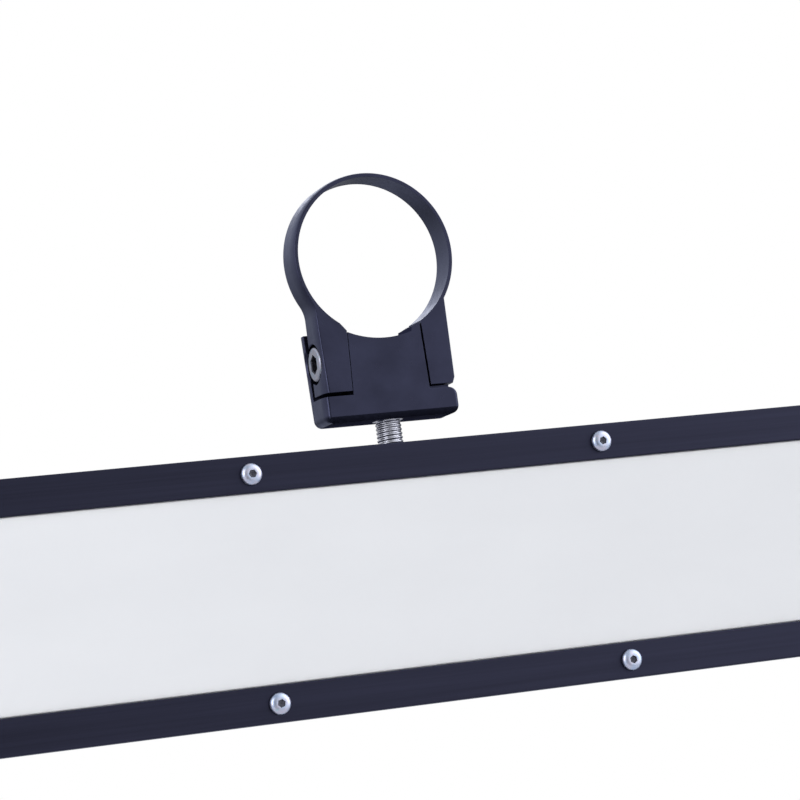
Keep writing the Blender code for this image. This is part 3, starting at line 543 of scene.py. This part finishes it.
def board_look():
    """White solder mask over a board, and the yellow phosphor in the face of each LED on it."""
    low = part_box("led_board_1")[0].y
    look = Look("board_fine", (0.84, 0.85, 0.82), 0.42)
    weave = look.noise(900, 2.0)
    depth = look.node("SeparateXYZ", Vector=look.coordinates).outputs["Y"]
    face = look.spread(depth, (low + PHOSPHOR_NEAR, low + PHOSPHOR_FAR), (1.0, 0.0))
    mask = ((0.15, (0.80, 0.81, 0.78)), (0.40, (0.87, 0.88, 0.86)))
    phosphor = (0.60, (0.86, 0.60, 0.10))
    look.tint(look.weigh(weave, 0.5, face), *mask, phosphor)
    look.emboss(weave, 0.1, 0.00004)
    return look.material


# Mesh helpers


def rectangle(low, high):
    """The corners between two opposite ones."""
    return [(low[0], low[1]), (high[0], low[1]), (high[0], high[1]), (low[0], high[1])]


def arc(centre, radius, start_deg, end_deg, count):
    """Points along an arc, both ends included."""
    turns = [math.radians(start_deg + (end_deg - start_deg) * i / count) for i in range(count + 1)]
    return [(centre[0] + radius * math.cos(t), centre[1] + radius * math.sin(t)) for t in turns]


def mesh_object(name, shape):
    """A new object from a bmesh, which is freed."""
    bmesh.ops.recalc_face_normals(shape, faces=shape.faces)
    mesh = bpy.data.meshes.new(name)
    shape.to_mesh(mesh)
    shape.free()
    made = bpy.data.objects.new(name, mesh)
    bpy.context.scene.collection.objects.link(made)
    return made


def settle(made):
    """Applies an object's modifiers."""
    bpy.context.view_layer.update()
    graph = bpy.context.evaluated_depsgraph_get()
    old = made.data
    made.data = bpy.data.meshes.new_from_object(made.evaluated_get(graph))
    made.modifiers.clear()
    bpy.data.meshes.remove(old)


def drop(made):
    """Removes an object and its mesh."""
    mesh = made.data
    bpy.data.objects.remove(made, do_unlink=True)
    bpy.data.meshes.remove(mesh)


def combine(made, tool, operation="DIFFERENCE"):
    """Cuts a tool out of an object, or joins it, and removes the tool."""
    step = made.modifiers.new(operation.lower(), "BOOLEAN")
    step.operation = operation
    step.object = tool
    step.solver = "EXACT"
    settle(made)
    drop(tool)


def bevel(made, width, segments=3, edge_deg=35):
    """Rounds every edge sharper than a facet of a curve."""
    step = made.modifiers.new("round", "BEVEL")
    step.width = width
    step.segments = segments
    step.limit_method = "ANGLE"
    step.angle_limit = math.radians(edge_deg)
    settle(made)


def smooth(made, edge_deg=32):
    """Smooth shading, broken at sharp edges, with flat faces kept flat."""
    made.data.shade_smooth()
    made.data.set_sharp_from_angle(angle=math.radians(edge_deg))
    step = made.modifiers.new("flat_faces", "WEIGHTED_NORMAL")
    step.keep_sharp = True
    settle(made)


def skin(shape, rings):
    """Faces between rings of vertices of equal count, where a ring of one vertex is a tip."""
    for upper, lower in zip(rings, rings[1:]):
        count = max(len(upper), len(lower))
        for i in range(count):
            j = (i + 1) % count
            corners = [
                upper[i % len(upper)],
                lower[i % len(lower)],
                lower[j % len(lower)],
                upper[j % len(upper)],
            ]
            unique = list(dict.fromkeys(corners))
            if len(unique) > 2:
                shape.faces.new(unique)


def loft(name, stations):
    """A skin over outlines of (x, z) points, each at its depth, closed at both ends."""
    shape = bmesh.new()
    rings = [[shape.verts.new((x, depth, z)) for x, z in outline] for depth, outline in stations]
    skin(shape, rings)
    shape.faces.new(rings[0])
    shape.faces.new(rings[-1])
    return mesh_object(name, shape)


def rounded_depths(front, back, front_round, front_share, back_round, steps=10):
    """Depths from front to back, each with how far a rounded side is drawn in there.

    At the front the side is drawn in by only a share of the rounding's depth.
    """
    turns = [math.radians(90 * i / steps) for i in range(steps + 1)]
    drawn_in = front_share * front_round
    ahead = [(front + front_round * (1 - math.cos(t)), drawn_in * (1 - math.sin(t))) for t in turns]
    behind = [(back - back_round * (1 - math.cos(t)), back_round * (1 - math.sin(t))) for t in turns]
    return ahead + behind[::-1]


def lathe(name, profile, steps=64):
    """A profile of (radius, height) points turned about Z. A radius of 0 closes an end."""
    shape = bmesh.new()
    rings = []
    for radius, height in profile:
        count = steps if radius > 0 else 1
        turns = [2 * math.pi * i / count for i in range(count)]
        rings.append([shape.verts.new((radius * math.cos(t), radius * math.sin(t), height)) for t in turns])
    skin(shape, rings)
    return mesh_object(name, shape)


def assign_faces(made, inside, index=1):
    """Gives the faces whose middle passes a test another of the object's materials."""
    for face in made.data.polygons:
        if inside(face.center):
            face.material_index = index


def cut_socket(screw, across_flats, top, depth, looks):
    """Cuts a hex socket in a screw's top: wider at its mouth, drilled to a point, and painted dark inside as
    shade.
    """
    corner = across_flats / math.sqrt(3)
    lead_in = SOCKET_LEAD_IN * across_flats
    profile = [
        (0, top + depth),
        (corner + lead_in + depth, top + depth),
        (corner, top - lead_in),
        (corner, top - depth),
        (0, top - depth - SOCKET_POINT * across_flats),
    ]
    combine(screw, lathe("socket_tool", profile, steps=6))
    for look in looks:
        screw.data.materials.append(look)
    # The socket's inner faces take the second look: painted shade
    assign_faces(screw, lambda place: place.xy.length < corner + lead_in and place.z < top - HAIR)


def thread_columns(major, depth, pitch, bottom, top, end_cut, steps):
    """Columns of (radius, height) points for a thread, one column for each step of a turn."""
    shares = [k / THREAD_FORM_STEPS for k in range(THREAD_FORM_STEPS)]
    form = [(share, 0.5 + 0.5 * math.cos(2 * math.pi * share)) for share in shares]
    first = math.floor(bottom / pitch) - 1
    last = math.ceil(top / pitch) + 1
    columns = []
    for i in range(steps + 1):
        column = []
        for turn in range(first, last):
            for share, cut in form:
                height = min(max((turn + share + i / steps) * pitch, bottom), top)
                taper = min(height - bottom, top - height) + major - end_cut
                column.append((min(major - cut * depth, taper), height))
        columns.append(column)
    return columns


def threaded_rod(name, major, depth, pitch, bottom, top, end_cut, steps):
    """A screw thread from one height to another along Z, closed at both ends, its ends chamfered."""
    shape = bmesh.new()
    columns = []
    for i, column in enumerate(thread_columns(major, depth, pitch, bottom, top, end_cut, steps)):
        turn = 2 * math.pi * i / steps
        columns.append([shape.verts.new((r * math.cos(turn), r * math.sin(turn), z)) for r, z in column])
    low = shape.verts.new((0, 0, bottom))
    high = shape.verts.new((0, 0, top))
    for left, right in zip(columns, columns[1:]):
        for k in range(len(left) - 1):
            shape.faces.new((left[k], right[k], right[k + 1], left[k + 1]))
        shape.faces.new((left[0], low, right[0]))
        shape.faces.new((left[-1], right[-1], high))
    bmesh.ops.remove_doubles(shape, verts=shape.verts, dist=MERGE_DISTANCE)
    bmesh.ops.dissolve_degenerate(shape, edges=shape.edges, dist=MERGE_DISTANCE)
    return mesh_object(name, shape)


def join(made, other):
    """Adds another object's faces to an object's own."""
    shape = bmesh.new()
    shape.from_mesh(made.data)
    shape.from_mesh(other.data)
    shape.to_mesh(made.data)
    shape.free()
    drop(other)


def add_shank(screw, radius, pitch, reach, steps=24):
    """A threaded shank under a screw's head, whose underside is at height 0."""
    depth = SHANK_THREAD_DEPTH * pitch
    end_cut = SHANK_END_CUT * pitch
    join(screw, threaded_rod("shank", radius, depth, pitch, -reach, -SHANK_GAP, end_cut, steps))


# Turns that bring a piece's own +Z to where it faces
FACING = {
    "front": Matrix.Rotation(math.radians(90), 4, "X"),
    "back": Matrix.Rotation(math.radians(-90), 4, "X"),
    "left": Matrix.Rotation(math.radians(-90), 4, "Y"),
    "up": Matrix.Identity(4),
    "down": Matrix.Rotation(math.radians(180), 4, "X"),
}


def put(made, place, facing, turn_deg=0):
    """Moves an object's mesh to its place in the model, turned about its own axis first."""
    spin = Matrix.Rotation(math.radians(turn_deg), 4, "Z")
    made.data.transform(Matrix.Translation(Vector(place)) @ FACING[facing] @ spin)


def stand_for(made, node):
    """Puts a finished piece on the body and in the place of a CAD node."""
    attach(made, nodes[node]["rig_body"])
    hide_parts(node)


def paint(look, *names):
    """Gives a finer material to CAD nodes that stay."""
    for name in names:
        for slot in nodes[name].material_slots:
            slot.material = look


def named(prefix):
    """The CAD nodes whose names start alike."""
    return sorted(name for name in nodes if name.startswith(prefix))


# Clamp

RING_LOW, RING_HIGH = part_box("clamp_ring")
BLOCK_LOW, BLOCK_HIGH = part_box("clamp_block")
SCREW_LOW, SCREW_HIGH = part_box("clamp_screw")
STRAP_OUTER = TUBE_RADIUS + STRAP_THICKNESS
LEG_BOTTOM = RING_LOW.z
BASE_TOP = LEG_BOTTOM - BASE_GAP
BASE_BOTTOM = BLOCK_LOW.z
BASE_HALF = BLOCK_HIGH.x - REAR_WALL_OVERHANG
HEAD_SEAT = SCREW_LOW.x + CLAMP_HEAD_HEIGHT
SCREW_HEIGHT = (SCREW_LOW.z + SCREW_HIGH.z) / 2


def upright_half(height):
    """Half the width of the block's tapered upright at a height."""
    fall = (-height - TUBE_RADIUS) / (-BASE_TOP - TUBE_RADIUS)
    return (UPRIGHT_TOP_WIDTH + (UPRIGHT_FOOT_WIDTH - UPRIGHT_TOP_WIDTH) * fall) / 2


def ring_angle(radius, across):
    """The angle, below the horizontal, of the point so far across on a circle about the middle line."""
    return -math.degrees(math.acos(across / radius))


def leg_tip(radius, gap, centre=0.0):
    """Where a line a gap outside the upright's side meets a circle about a height on the middle line."""
    height = centre - radius
    for _ in range(30):
        across = upright_half(height) + gap
        height = centre - math.sqrt(radius**2 - across**2)
    return across, height


def clamp_ring_outline(inset):
    """The strap and its two legs from the front, the outer side drawn in. Only the left neck is filleted."""
    right_tip = leg_tip(TUBE_RADIUS, CLAMP_GAP)[0]
    left_tip, left_top = leg_tip(TUBE_RADIUS + LEG_TIP_CLEARANCE, SEAT_GAP)
    neck_x = -LEG_OUTER - NECK_RADIUS
    neck_z = -math.sqrt((STRAP_OUTER + NECK_RADIUS) ** 2 - neck_x**2)
    neck_turn = math.degrees(math.atan2(-neck_z, -neck_x))
    left_end = 180 - ring_angle(TUBE_RADIUS, left_tip + LEG_TIP_CUT)
    outer = STRAP_OUTER - inset
    side = LEG_OUTER - inset
    foot = LEG_OUTER - LEG_ROUND_GROWTH * inset
    inside = arc((0, 0), TUBE_RADIUS, left_end, ring_angle(TUBE_RADIUS, right_tip), RING_INSIDE_STEPS)
    outside = arc((0, 0), outer, ring_angle(outer, side), 180 + neck_turn, RING_OUTSIDE_STEPS)
    neck = arc((neck_x, neck_z), NECK_RADIUS + inset, neck_turn, 0, NECK_STEPS)[1:]
    left_leg = [
        (-foot, LEG_BOTTOM),
        (-upright_half(LEG_BOTTOM) - SEAT_GAP, LEG_BOTTOM),
        (-left_tip, left_top),
    ]
    right_leg = [
        (upright_half(LEG_BOTTOM) + CLAMP_GAP, LEG_BOTTOM),
        (side - LEG_CORNER_CUT, LEG_BOTTOM),
        (side, LEG_BOTTOM + LEG_CORNER_RISE),
    ]
    return left_leg + inside + right_leg + outside + neck


def round_corner(across, height, start_deg):
    """A quarter turn at an end of the base or the wall."""
    return arc((across, height), BASE_END_ROUND, start_deg, start_deg + 90, BASE_CORNER_STEPS)


def base_outline(inset):
    """The block from the front: a base with round ends, drawn in, and an upright with a saddle."""
    half = BASE_HALF - inset
    end = half - BASE_END_ROUND
    low = BASE_BOTTOM + BASE_END_ROUND
    centre = SADDLE_RADIUS - TUBE_RADIUS - SADDLE_CLEARANCE
    horn = TUBE_RADIUS + HORN_CLEARANCE
    horn_tip, horn_top = leg_tip(horn, 0)
    horn_start = horn_tip - HORN_WIDTH
    saddle_start = ring_angle(SADDLE_RADIUS, horn_start - HORN_STEP)
    saddle_end = ring_angle(SADDLE_RADIUS, -leg_tip(SADDLE_RADIUS, 0, centre)[0])
    base = round_corner(-end, low, 180) + round_corner(end, low, -90)
    base += round_corner(end, BASE_TOP - BASE_END_ROUND, 0)
    right_side = [(upright_half(BASE_TOP), BASE_TOP), (horn_tip, horn_top)]
    horn_arc = arc((0, 0), horn, ring_angle(horn, horn_tip), ring_angle(horn, horn_start), HORN_STEPS)[1:]
    saddle_arc = arc((0, centre), SADDLE_RADIUS, saddle_start, saddle_end, SADDLE_STEPS)
    left_side = [(-upright_half(BASE_TOP), BASE_TOP), (-half, BASE_TOP)]
    return base + right_side + horn_arc + saddle_arc + left_side


def rear_wall_outline():
    """The wall behind the legs, cut away where the tube passes. Its left end leans."""
    half = BLOCK_HIGH.x
    end = half - BASE_END_ROUND
    low = BASE_BOTTOM + BASE_END_ROUND
    top = REAR_WALL_RISE - TUBE_RADIUS
    saddle = TUBE_RADIUS + SADDLE_CLEARANCE
    shoulder = math.sqrt(saddle**2 - top**2)
    wall = round_corner(REAR_WALL_TAPER - end, low, 180) + round_corner(end, low, -90)
    wall += [(half, top)]
    wall += arc((0, 0), saddle, ring_angle(saddle, shoulder), ring_angle(saddle, -shoulder), WALL_STEPS)
    return wall + [(-half, top)]


def counterbore_tool():
    """The clamp screw's sink in the left side, with a broken edge at the face."""
    face = HEAD_SEAT + LEG_OUTER
    lip = COUNTERBORE_RADIUS + COUNTERBORE_LIP
    profile = [
        (0, face + COUNTERBORE_OVERRUN),
        (lip + COUNTERBORE_OVERRUN, face + COUNTERBORE_OVERRUN),
        (COUNTERBORE_RADIUS, face - COUNTERBORE_LIP),
        (COUNTERBORE_RADIUS, 0),
        (0, 0),
    ]
    made = lathe("counterbore_tool", profile, steps=96)
    put(made, (HEAD_SEAT, 0, SCREW_HEIGHT), "left")
    return made


def hole_tool(radius, place, facing, length, mouth=0.0):
    """A round hole that runs from a point the way it faces, chamfered halfway along where its mouth is."""
    middle = length / 2
    start = radius + mouth + middle if mouth else radius
    profile = [(0, length), (radius, length), (radius, middle + mouth), (start, 0), (0, 0)]
    made = lathe("hole_tool", profile)
    put(made, place, facing)
    return made


def make_clamp_ring(look):
    """The strap ring with its legs, sunk for the clamp screw's head and bored for its shank."""
    back = RING_HIGH.y - STRAP_SET_FORWARD
    depths = rounded_depths(RING_LOW.y, back, STRAP_FRONT_ROUND, STRAP_FRONT_SHARE, STRAP_BACK_ROUND)
    ring = loft("ring_clamp", [(depth, clamp_ring_outline(inset)) for depth, inset in depths])
    bevel(ring, SMALL_EDGE_ROUND)
    combine(ring, counterbore_tool())
    through = (2 * LEG_OUTER, 0, SCREW_HEIGHT)
    combine(ring, hole_tool(CLAMP_SHANK_RADIUS + SEAT_GAP, through, "left", 4 * LEG_OUTER))
    smooth(ring)
    ring.data.materials.append(look)
    stand_for(ring, "clamp_ring")


def chamfer_tool():
    """A wedge along the base's lower front edge."""
    run_out = BASE_END_ROUND
    corner = BASE_FRONT_CHAMFER + run_out
    wedge = [
        (BLOCK_LOW.y - run_out, BASE_BOTTOM + corner),
        (BLOCK_LOW.y - run_out, BASE_BOTTOM - run_out),
        (BLOCK_LOW.y + corner, BASE_BOTTOM - run_out),
    ]
    shape = bmesh.new()
    ends = [[shape.verts.new((x, y, z)) for y, z in wedge] for x in (-2 * LEG_OUTER, 2 * LEG_OUTER)]
    skin(shape, ends)
    shape.faces.new(ends[0])
    shape.faces.new(ends[1])
    return mesh_object("chamfer_tool", shape)


def ledge_tool(front, back):
    """A ledge on the base that closes the gap under the right leg, set back from the front."""
    inner = upright_half(BASE_TOP) - SEAT_GAP
    outer = BASE_HALF - BASE_END_ROUND
    outline = rectangle((inner, BASE_TOP - BASE_GAP), (outer, LEG_BOTTOM - SEAT_GAP))
    return loft("ledge_tool", [(front, outline), (back, outline)])


def make_clamp_block(look, dull_painted_shade, bare):
    """The block: base, upright and rear wall. Saddle and underside get a rougher copy of the finish with
    darker reflections, painted shade; the stud hole's mouth is bare.
    """
    wall_front = BLOCK_HIGH.y - REAR_WALL_THICKNESS
    body_back = wall_front + SEAT_GAP
    depths = rounded_depths(BLOCK_LOW.y, body_back, BASE_FRONT_ROUND, BASE_FRONT_SHARE, BASE_BACK_ROUND)
    block = loft("saddle_block", [(depth, base_outline(inset)) for depth, inset in depths])
    bevel(block, SMALL_EDGE_ROUND)
    wall = loft("rear_wall", [(depth, rear_wall_outline()) for depth in (wall_front, BLOCK_HIGH.y)])
    bevel(wall, WALL_EDGE_ROUND)
    combine(block, wall, "UNION")
    combine(block, ledge_tool(BLOCK_LOW.y + LEDGE_SET_BACK, body_back), "UNION")
    combine(block, chamfer_tool())
    combine(block, counterbore_tool())
    start = (-HEAD_SEAT, 0, SCREW_HEIGHT)
    combine(block, hole_tool(SCREW_HOLE_RADIUS, start, "left", 4 * LEG_OUTER))
    hole_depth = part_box("mounting_stud")[1].z + SEAT_GAP - BASE_BOTTOM
    hole_radius = STUD_RADIUS + SEAT_GAP
    below = (0, 0, BASE_BOTTOM - hole_depth)
    combine(block, hole_tool(hole_radius, below, "up", 2 * hole_depth, STUD_HOLE_CHAMFER))
    smooth(block)
    for material in (look, dull_painted_shade, bare):
        block.data.materials.append(material)
    saddle_reach = TUBE_RADIUS + 2 * SADDLE_CLEARANCE
    mouth_radius = hole_radius + STUD_HOLE_CHAMFER
    mouth_low = BASE_BOTTOM + HAIR
    mouth_high = BASE_BOTTOM + STUD_HOLE_CHAMFER - HAIR
    # Saddle and underside: the rougher copy with darker reflections, painted shade
    assign_faces(block, lambda p: p.xz.length < saddle_reach or p.z < mouth_low)
    assign_faces(block, lambda p: p.xy.length < mouth_radius and mouth_low < p.z < mouth_high, 2)
    stand_for(block, "clamp_block")


# Screws, stud, panel and inlet


def rounded_rim(radius, top, edge):
    """A quarter round between a flat top and a cylinder's side, as points of a profile."""
    return arc((radius - edge, top - edge), edge, 90, 0, RIM_STEPS)


def cap_head(name, radius, height, edge):
    """A screw's cylindrical head, its underside at height 0, rounded at the top."""
    profile = [(0, height)] + rounded_rim(radius, height, edge)
    profile += [(radius, edge / 2), (radius - edge / 2, 0), (0, 0)]
    return lathe(name, profile, steps=72)


def make_clamp_screw(*looks):
    """A socket cap screw with a threaded shank."""
    top = CLAMP_HEAD_HEIGHT
    screw = cap_head("cap_screw", CLAMP_HEAD_RADIUS, top, CLAMP_HEAD_EDGE)
    cut_socket(screw, CLAMP_HEX, top, CLAMP_HEX_DEPTH, looks)
    reach = SCREW_HIGH.x - SCREW_LOW.x - top
    add_shank(screw, CLAMP_SHANK_RADIUS, CLAMP_THREAD_PITCH, reach, steps=40)
    put(screw, (HEAD_SEAT, 0, SCREW_HEIGHT), "left")
    smooth(screw)
    stand_for(screw, "clamp_screw")


def make_stud(look):
    """The threaded stud between the clamp's base and the bar."""
    low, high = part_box("mounting_stud")
    thread = (STUD_RADIUS, STUD_THREAD_DEPTH, STUD_PITCH)
    stud = threaded_rod("threaded_stud", *thread, low.z, high.z, STUD_END_CUT, steps=64)
    smooth(stud, edge_deg=50)
    stud.data.materials.append(look)
    stand_for(stud, "mounting_stud")


def make_bezel_screws(*looks):
    """Dome-headed socket screws along the bezel."""
    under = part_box("top_bezel")[0].y - SEAT_GAP
    flat = BEZEL_DOME_FLAT
    for number, name in enumerate(named("bezel_screw")):
        low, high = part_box(name)
        head = (high.x - low.x) / 2
        tall = under - low.y
        rise = tall - BEZEL_HEAD_RIM
        profile = [(0, tall)]
        for i in range(BEZEL_DOME_STEPS + 1):
            turn = math.radians(90 * i / BEZEL_DOME_STEPS)
            profile.append((flat + (head - flat) * math.sin(turn), BEZEL_HEAD_RIM + rise * math.cos(turn)))
        profile += [(head, BEZEL_RIM_CUT), (head - BEZEL_RIM_CUT, 0), (0, 0)]
        screw = lathe("dome_" + name, profile)
        cut_socket(screw, BEZEL_HEX, tall, BEZEL_HEX_DEPTH, looks)
        add_shank(screw, BEZEL_SHANK_RADIUS, BEZEL_THREAD_PITCH, high.y - under)
        middle = (low + high) / 2
        put(screw, (middle.x, under, middle.z), "front", BEZEL_TURN_STEP * number)
        smooth(screw, edge_deg=28)
        stand_for(screw, name)


def make_back_screws(*looks):
    """Countersunk socket screws, flush in the back plate."""
    tall = BACK_HEAD_HEIGHT
    for number, name in enumerate(named("back_screw")):
        low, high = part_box(name)
        head = (high.x - low.x) / 2
        rim = [(head - BACK_RIM_CUT, tall), (head, tall - BACK_RIM_CUT)]
        profile = [(0, tall), *rim, (BACK_SHANK_RADIUS, 0), (0, 0)]
        screw = lathe("flat_" + name, profile, steps=48)
        cut_socket(screw, BACK_HEX, tall, BACK_HEX_DEPTH, looks)
        add_shank(screw, BACK_SHANK_RADIUS, BACK_THREAD_PITCH, high.y - low.y - tall)
        middle = (low + high) / 2
        put(screw, (middle.x, high.y - tall, middle.z), "back", BACK_TURN_STEP * number)
        smooth(screw, edge_deg=28)
        stand_for(screw, name)


def make_corner_screws(*looks):
    """Socket cap screws sunk in the ends of the long rails."""
    tall = CORNER_HEAD_HEIGHT
    for number, name in enumerate(named("corner_screw")):
        low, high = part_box(name)
        screw = cap_head("cap_" + name, (high.x - low.x) / 2, tall, CORNER_HEAD_EDGE)
        cut_socket(screw, CORNER_HEX, tall, CORNER_HEX_DEPTH, looks)
        add_shank(screw, CORNER_SHANK_RADIUS, CORNER_THREAD_PITCH, high.z - low.z - tall)
        middle = (low + high) / 2
        turn = CORNER_TURN_STEP * number
        if "top" in name:
            put(screw, (middle.x, middle.y, high.z - tall), "up", turn)
        else:
            put(screw, (middle.x, middle.y, low.z + tall), "down", turn)
        smooth(screw, edge_deg=28)
        stand_for(screw, name)


def make_panel(look):
    """The opal panel: its edges lie behind the bezel, and its face stands forward in the window."""
    low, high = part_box("diffuser")
    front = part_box("top_bezel")[0].y + PANEL_SET_BACK
    corner = (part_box("left_bezel")[1].x + SEAT_GAP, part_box("bottom_bezel")[1].z + SEAT_GAP)
    opposite = (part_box("right_bezel")[0].x - SEAT_GAP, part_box("top_bezel")[0].z - SEAT_GAP)
    face = rectangle(corner, opposite)
    plate = rectangle((low.x, low.z), (high.x, high.z))
    panel = loft("opal_panel", [(front, face), (low.y, face), (low.y, plate), (high.y, plate)])
    bevel(panel, PANEL_EDGE_ROUND)
    smooth(panel)
    panel.data.materials.append(look)
    stand_for(panel, "diffuser")


def make_inlet(plastic, metal):
    """The round supply inlet: a flange on the back plate, a socket, and its pin."""
    low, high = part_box("dc_inlet")
    rim = INLET_FLANGE_THICKNESS
    edge = INLET_EDGE_ROUND
    flange = (high.x - low.x) / 2
    floor = rim - INLET_SOCKET_DEPTH
    inner_end = rim - (high.y - low.y)
    profile = [
        (0, 0),
        (INLET_PIN_RADIUS - INLET_PIN_CUT, 0),
        (INLET_PIN_RADIUS, -INLET_PIN_CUT),
        (INLET_PIN_RADIUS, floor),
        (INLET_SOCKET_RADIUS, floor),
        (INLET_SOCKET_RADIUS, rim - edge),
        (INLET_SOCKET_RADIUS + edge, rim),
    ]
    profile += rounded_rim(flange, rim, edge)
    profile += [(flange, 0), (INLET_BODY_RADIUS, 0), (INLET_BODY_RADIUS, inner_end), (0, inner_end)]
    inlet = lathe("inlet_socket", profile)
    inlet.data.materials.append(plastic)
    inlet.data.materials.append(metal)
    assign_faces(inlet, lambda place: place.xy.length <= INLET_PIN_RADIUS and floor < place.z)
    middle = (low + high) / 2
    put(inlet, (middle.x, high.y - rim, middle.z), "back")
    smooth(inlet, edge_deg=40)
    stand_for(inlet, "dc_inlet")


# The object

ANODISED = anodised_look("black_anodised_fine", 0.27, 0.36, COOL_TINT)
# A rougher copy of the anodised finish with a darker reflection tint, for the saddle and underside: painted
# shade
DULL_PAINTED_SHADE = anodised_look("black_anodised_dull_painted_shade", 0.55, 0.68, (0.30, 0.32, 0.40, 1))
RAIL = drawn_look("rail_drawn", (0.019, 0.020, 0.036), 0.16)
BEZEL = drawn_look("bezel_brushed", (0.020, 0.021, 0.039), 0.20)
ZINC = zinc_look("zinc_fine", 0.78)
DULL_ZINC = zinc_look("zinc_dull", 0.42)
STAINLESS = stainless_look()
# Socket insides darker than the plate: painted shade of the recess, darkest in the clamp screw's deep socket
SOCKET_PAINTED_SHADE = socket_shade_look("socket_painted_shade", (0.13, 0.135, 0.17))
DEEP_SOCKET_PAINTED_SHADE = socket_shade_look("deep_socket_painted_shade", (0.022, 0.022, 0.032))

make_clamp_ring(ANODISED)
make_clamp_block(ANODISED, DULL_PAINTED_SHADE, STAINLESS)
make_clamp_screw(DULL_ZINC, DEEP_SOCKET_PAINTED_SHADE)
make_stud(STAINLESS)
make_bezel_screws(ZINC, SOCKET_PAINTED_SHADE)
make_back_screws(STAINLESS, SOCKET_PAINTED_SHADE)
make_corner_screws(STAINLESS, SOCKET_PAINTED_SHADE)
make_panel(opal_look())
make_inlet(moulded_look(), STAINLESS)

paint(RAIL, "top_rail", "bottom_rail", "left_rail", "right_rail", "back_plate")
paint(BEZEL, "top_bezel", "bottom_bezel", "left_bezel", "right_bezel")
paint(foam_look(), "gasket")
paint(film_look(), "reflector")
paint(board_look(), "led_board_1", "led_board_2", "led_board_3")
paint(ZINC, "dc_inlet_nut")
paint(wire_look("wire_red", (0.5, 0.02, 0.02)), "supply_lead_upper", "board_jumper_1")
paint(wire_look("wire_black", (0.02, 0.02, 0.022)), "supply_lead_lower")

make_camera()
make_world()
make_lights()
make_floor()
bpy.context.scene.view_settings.view_transform = "Standard"
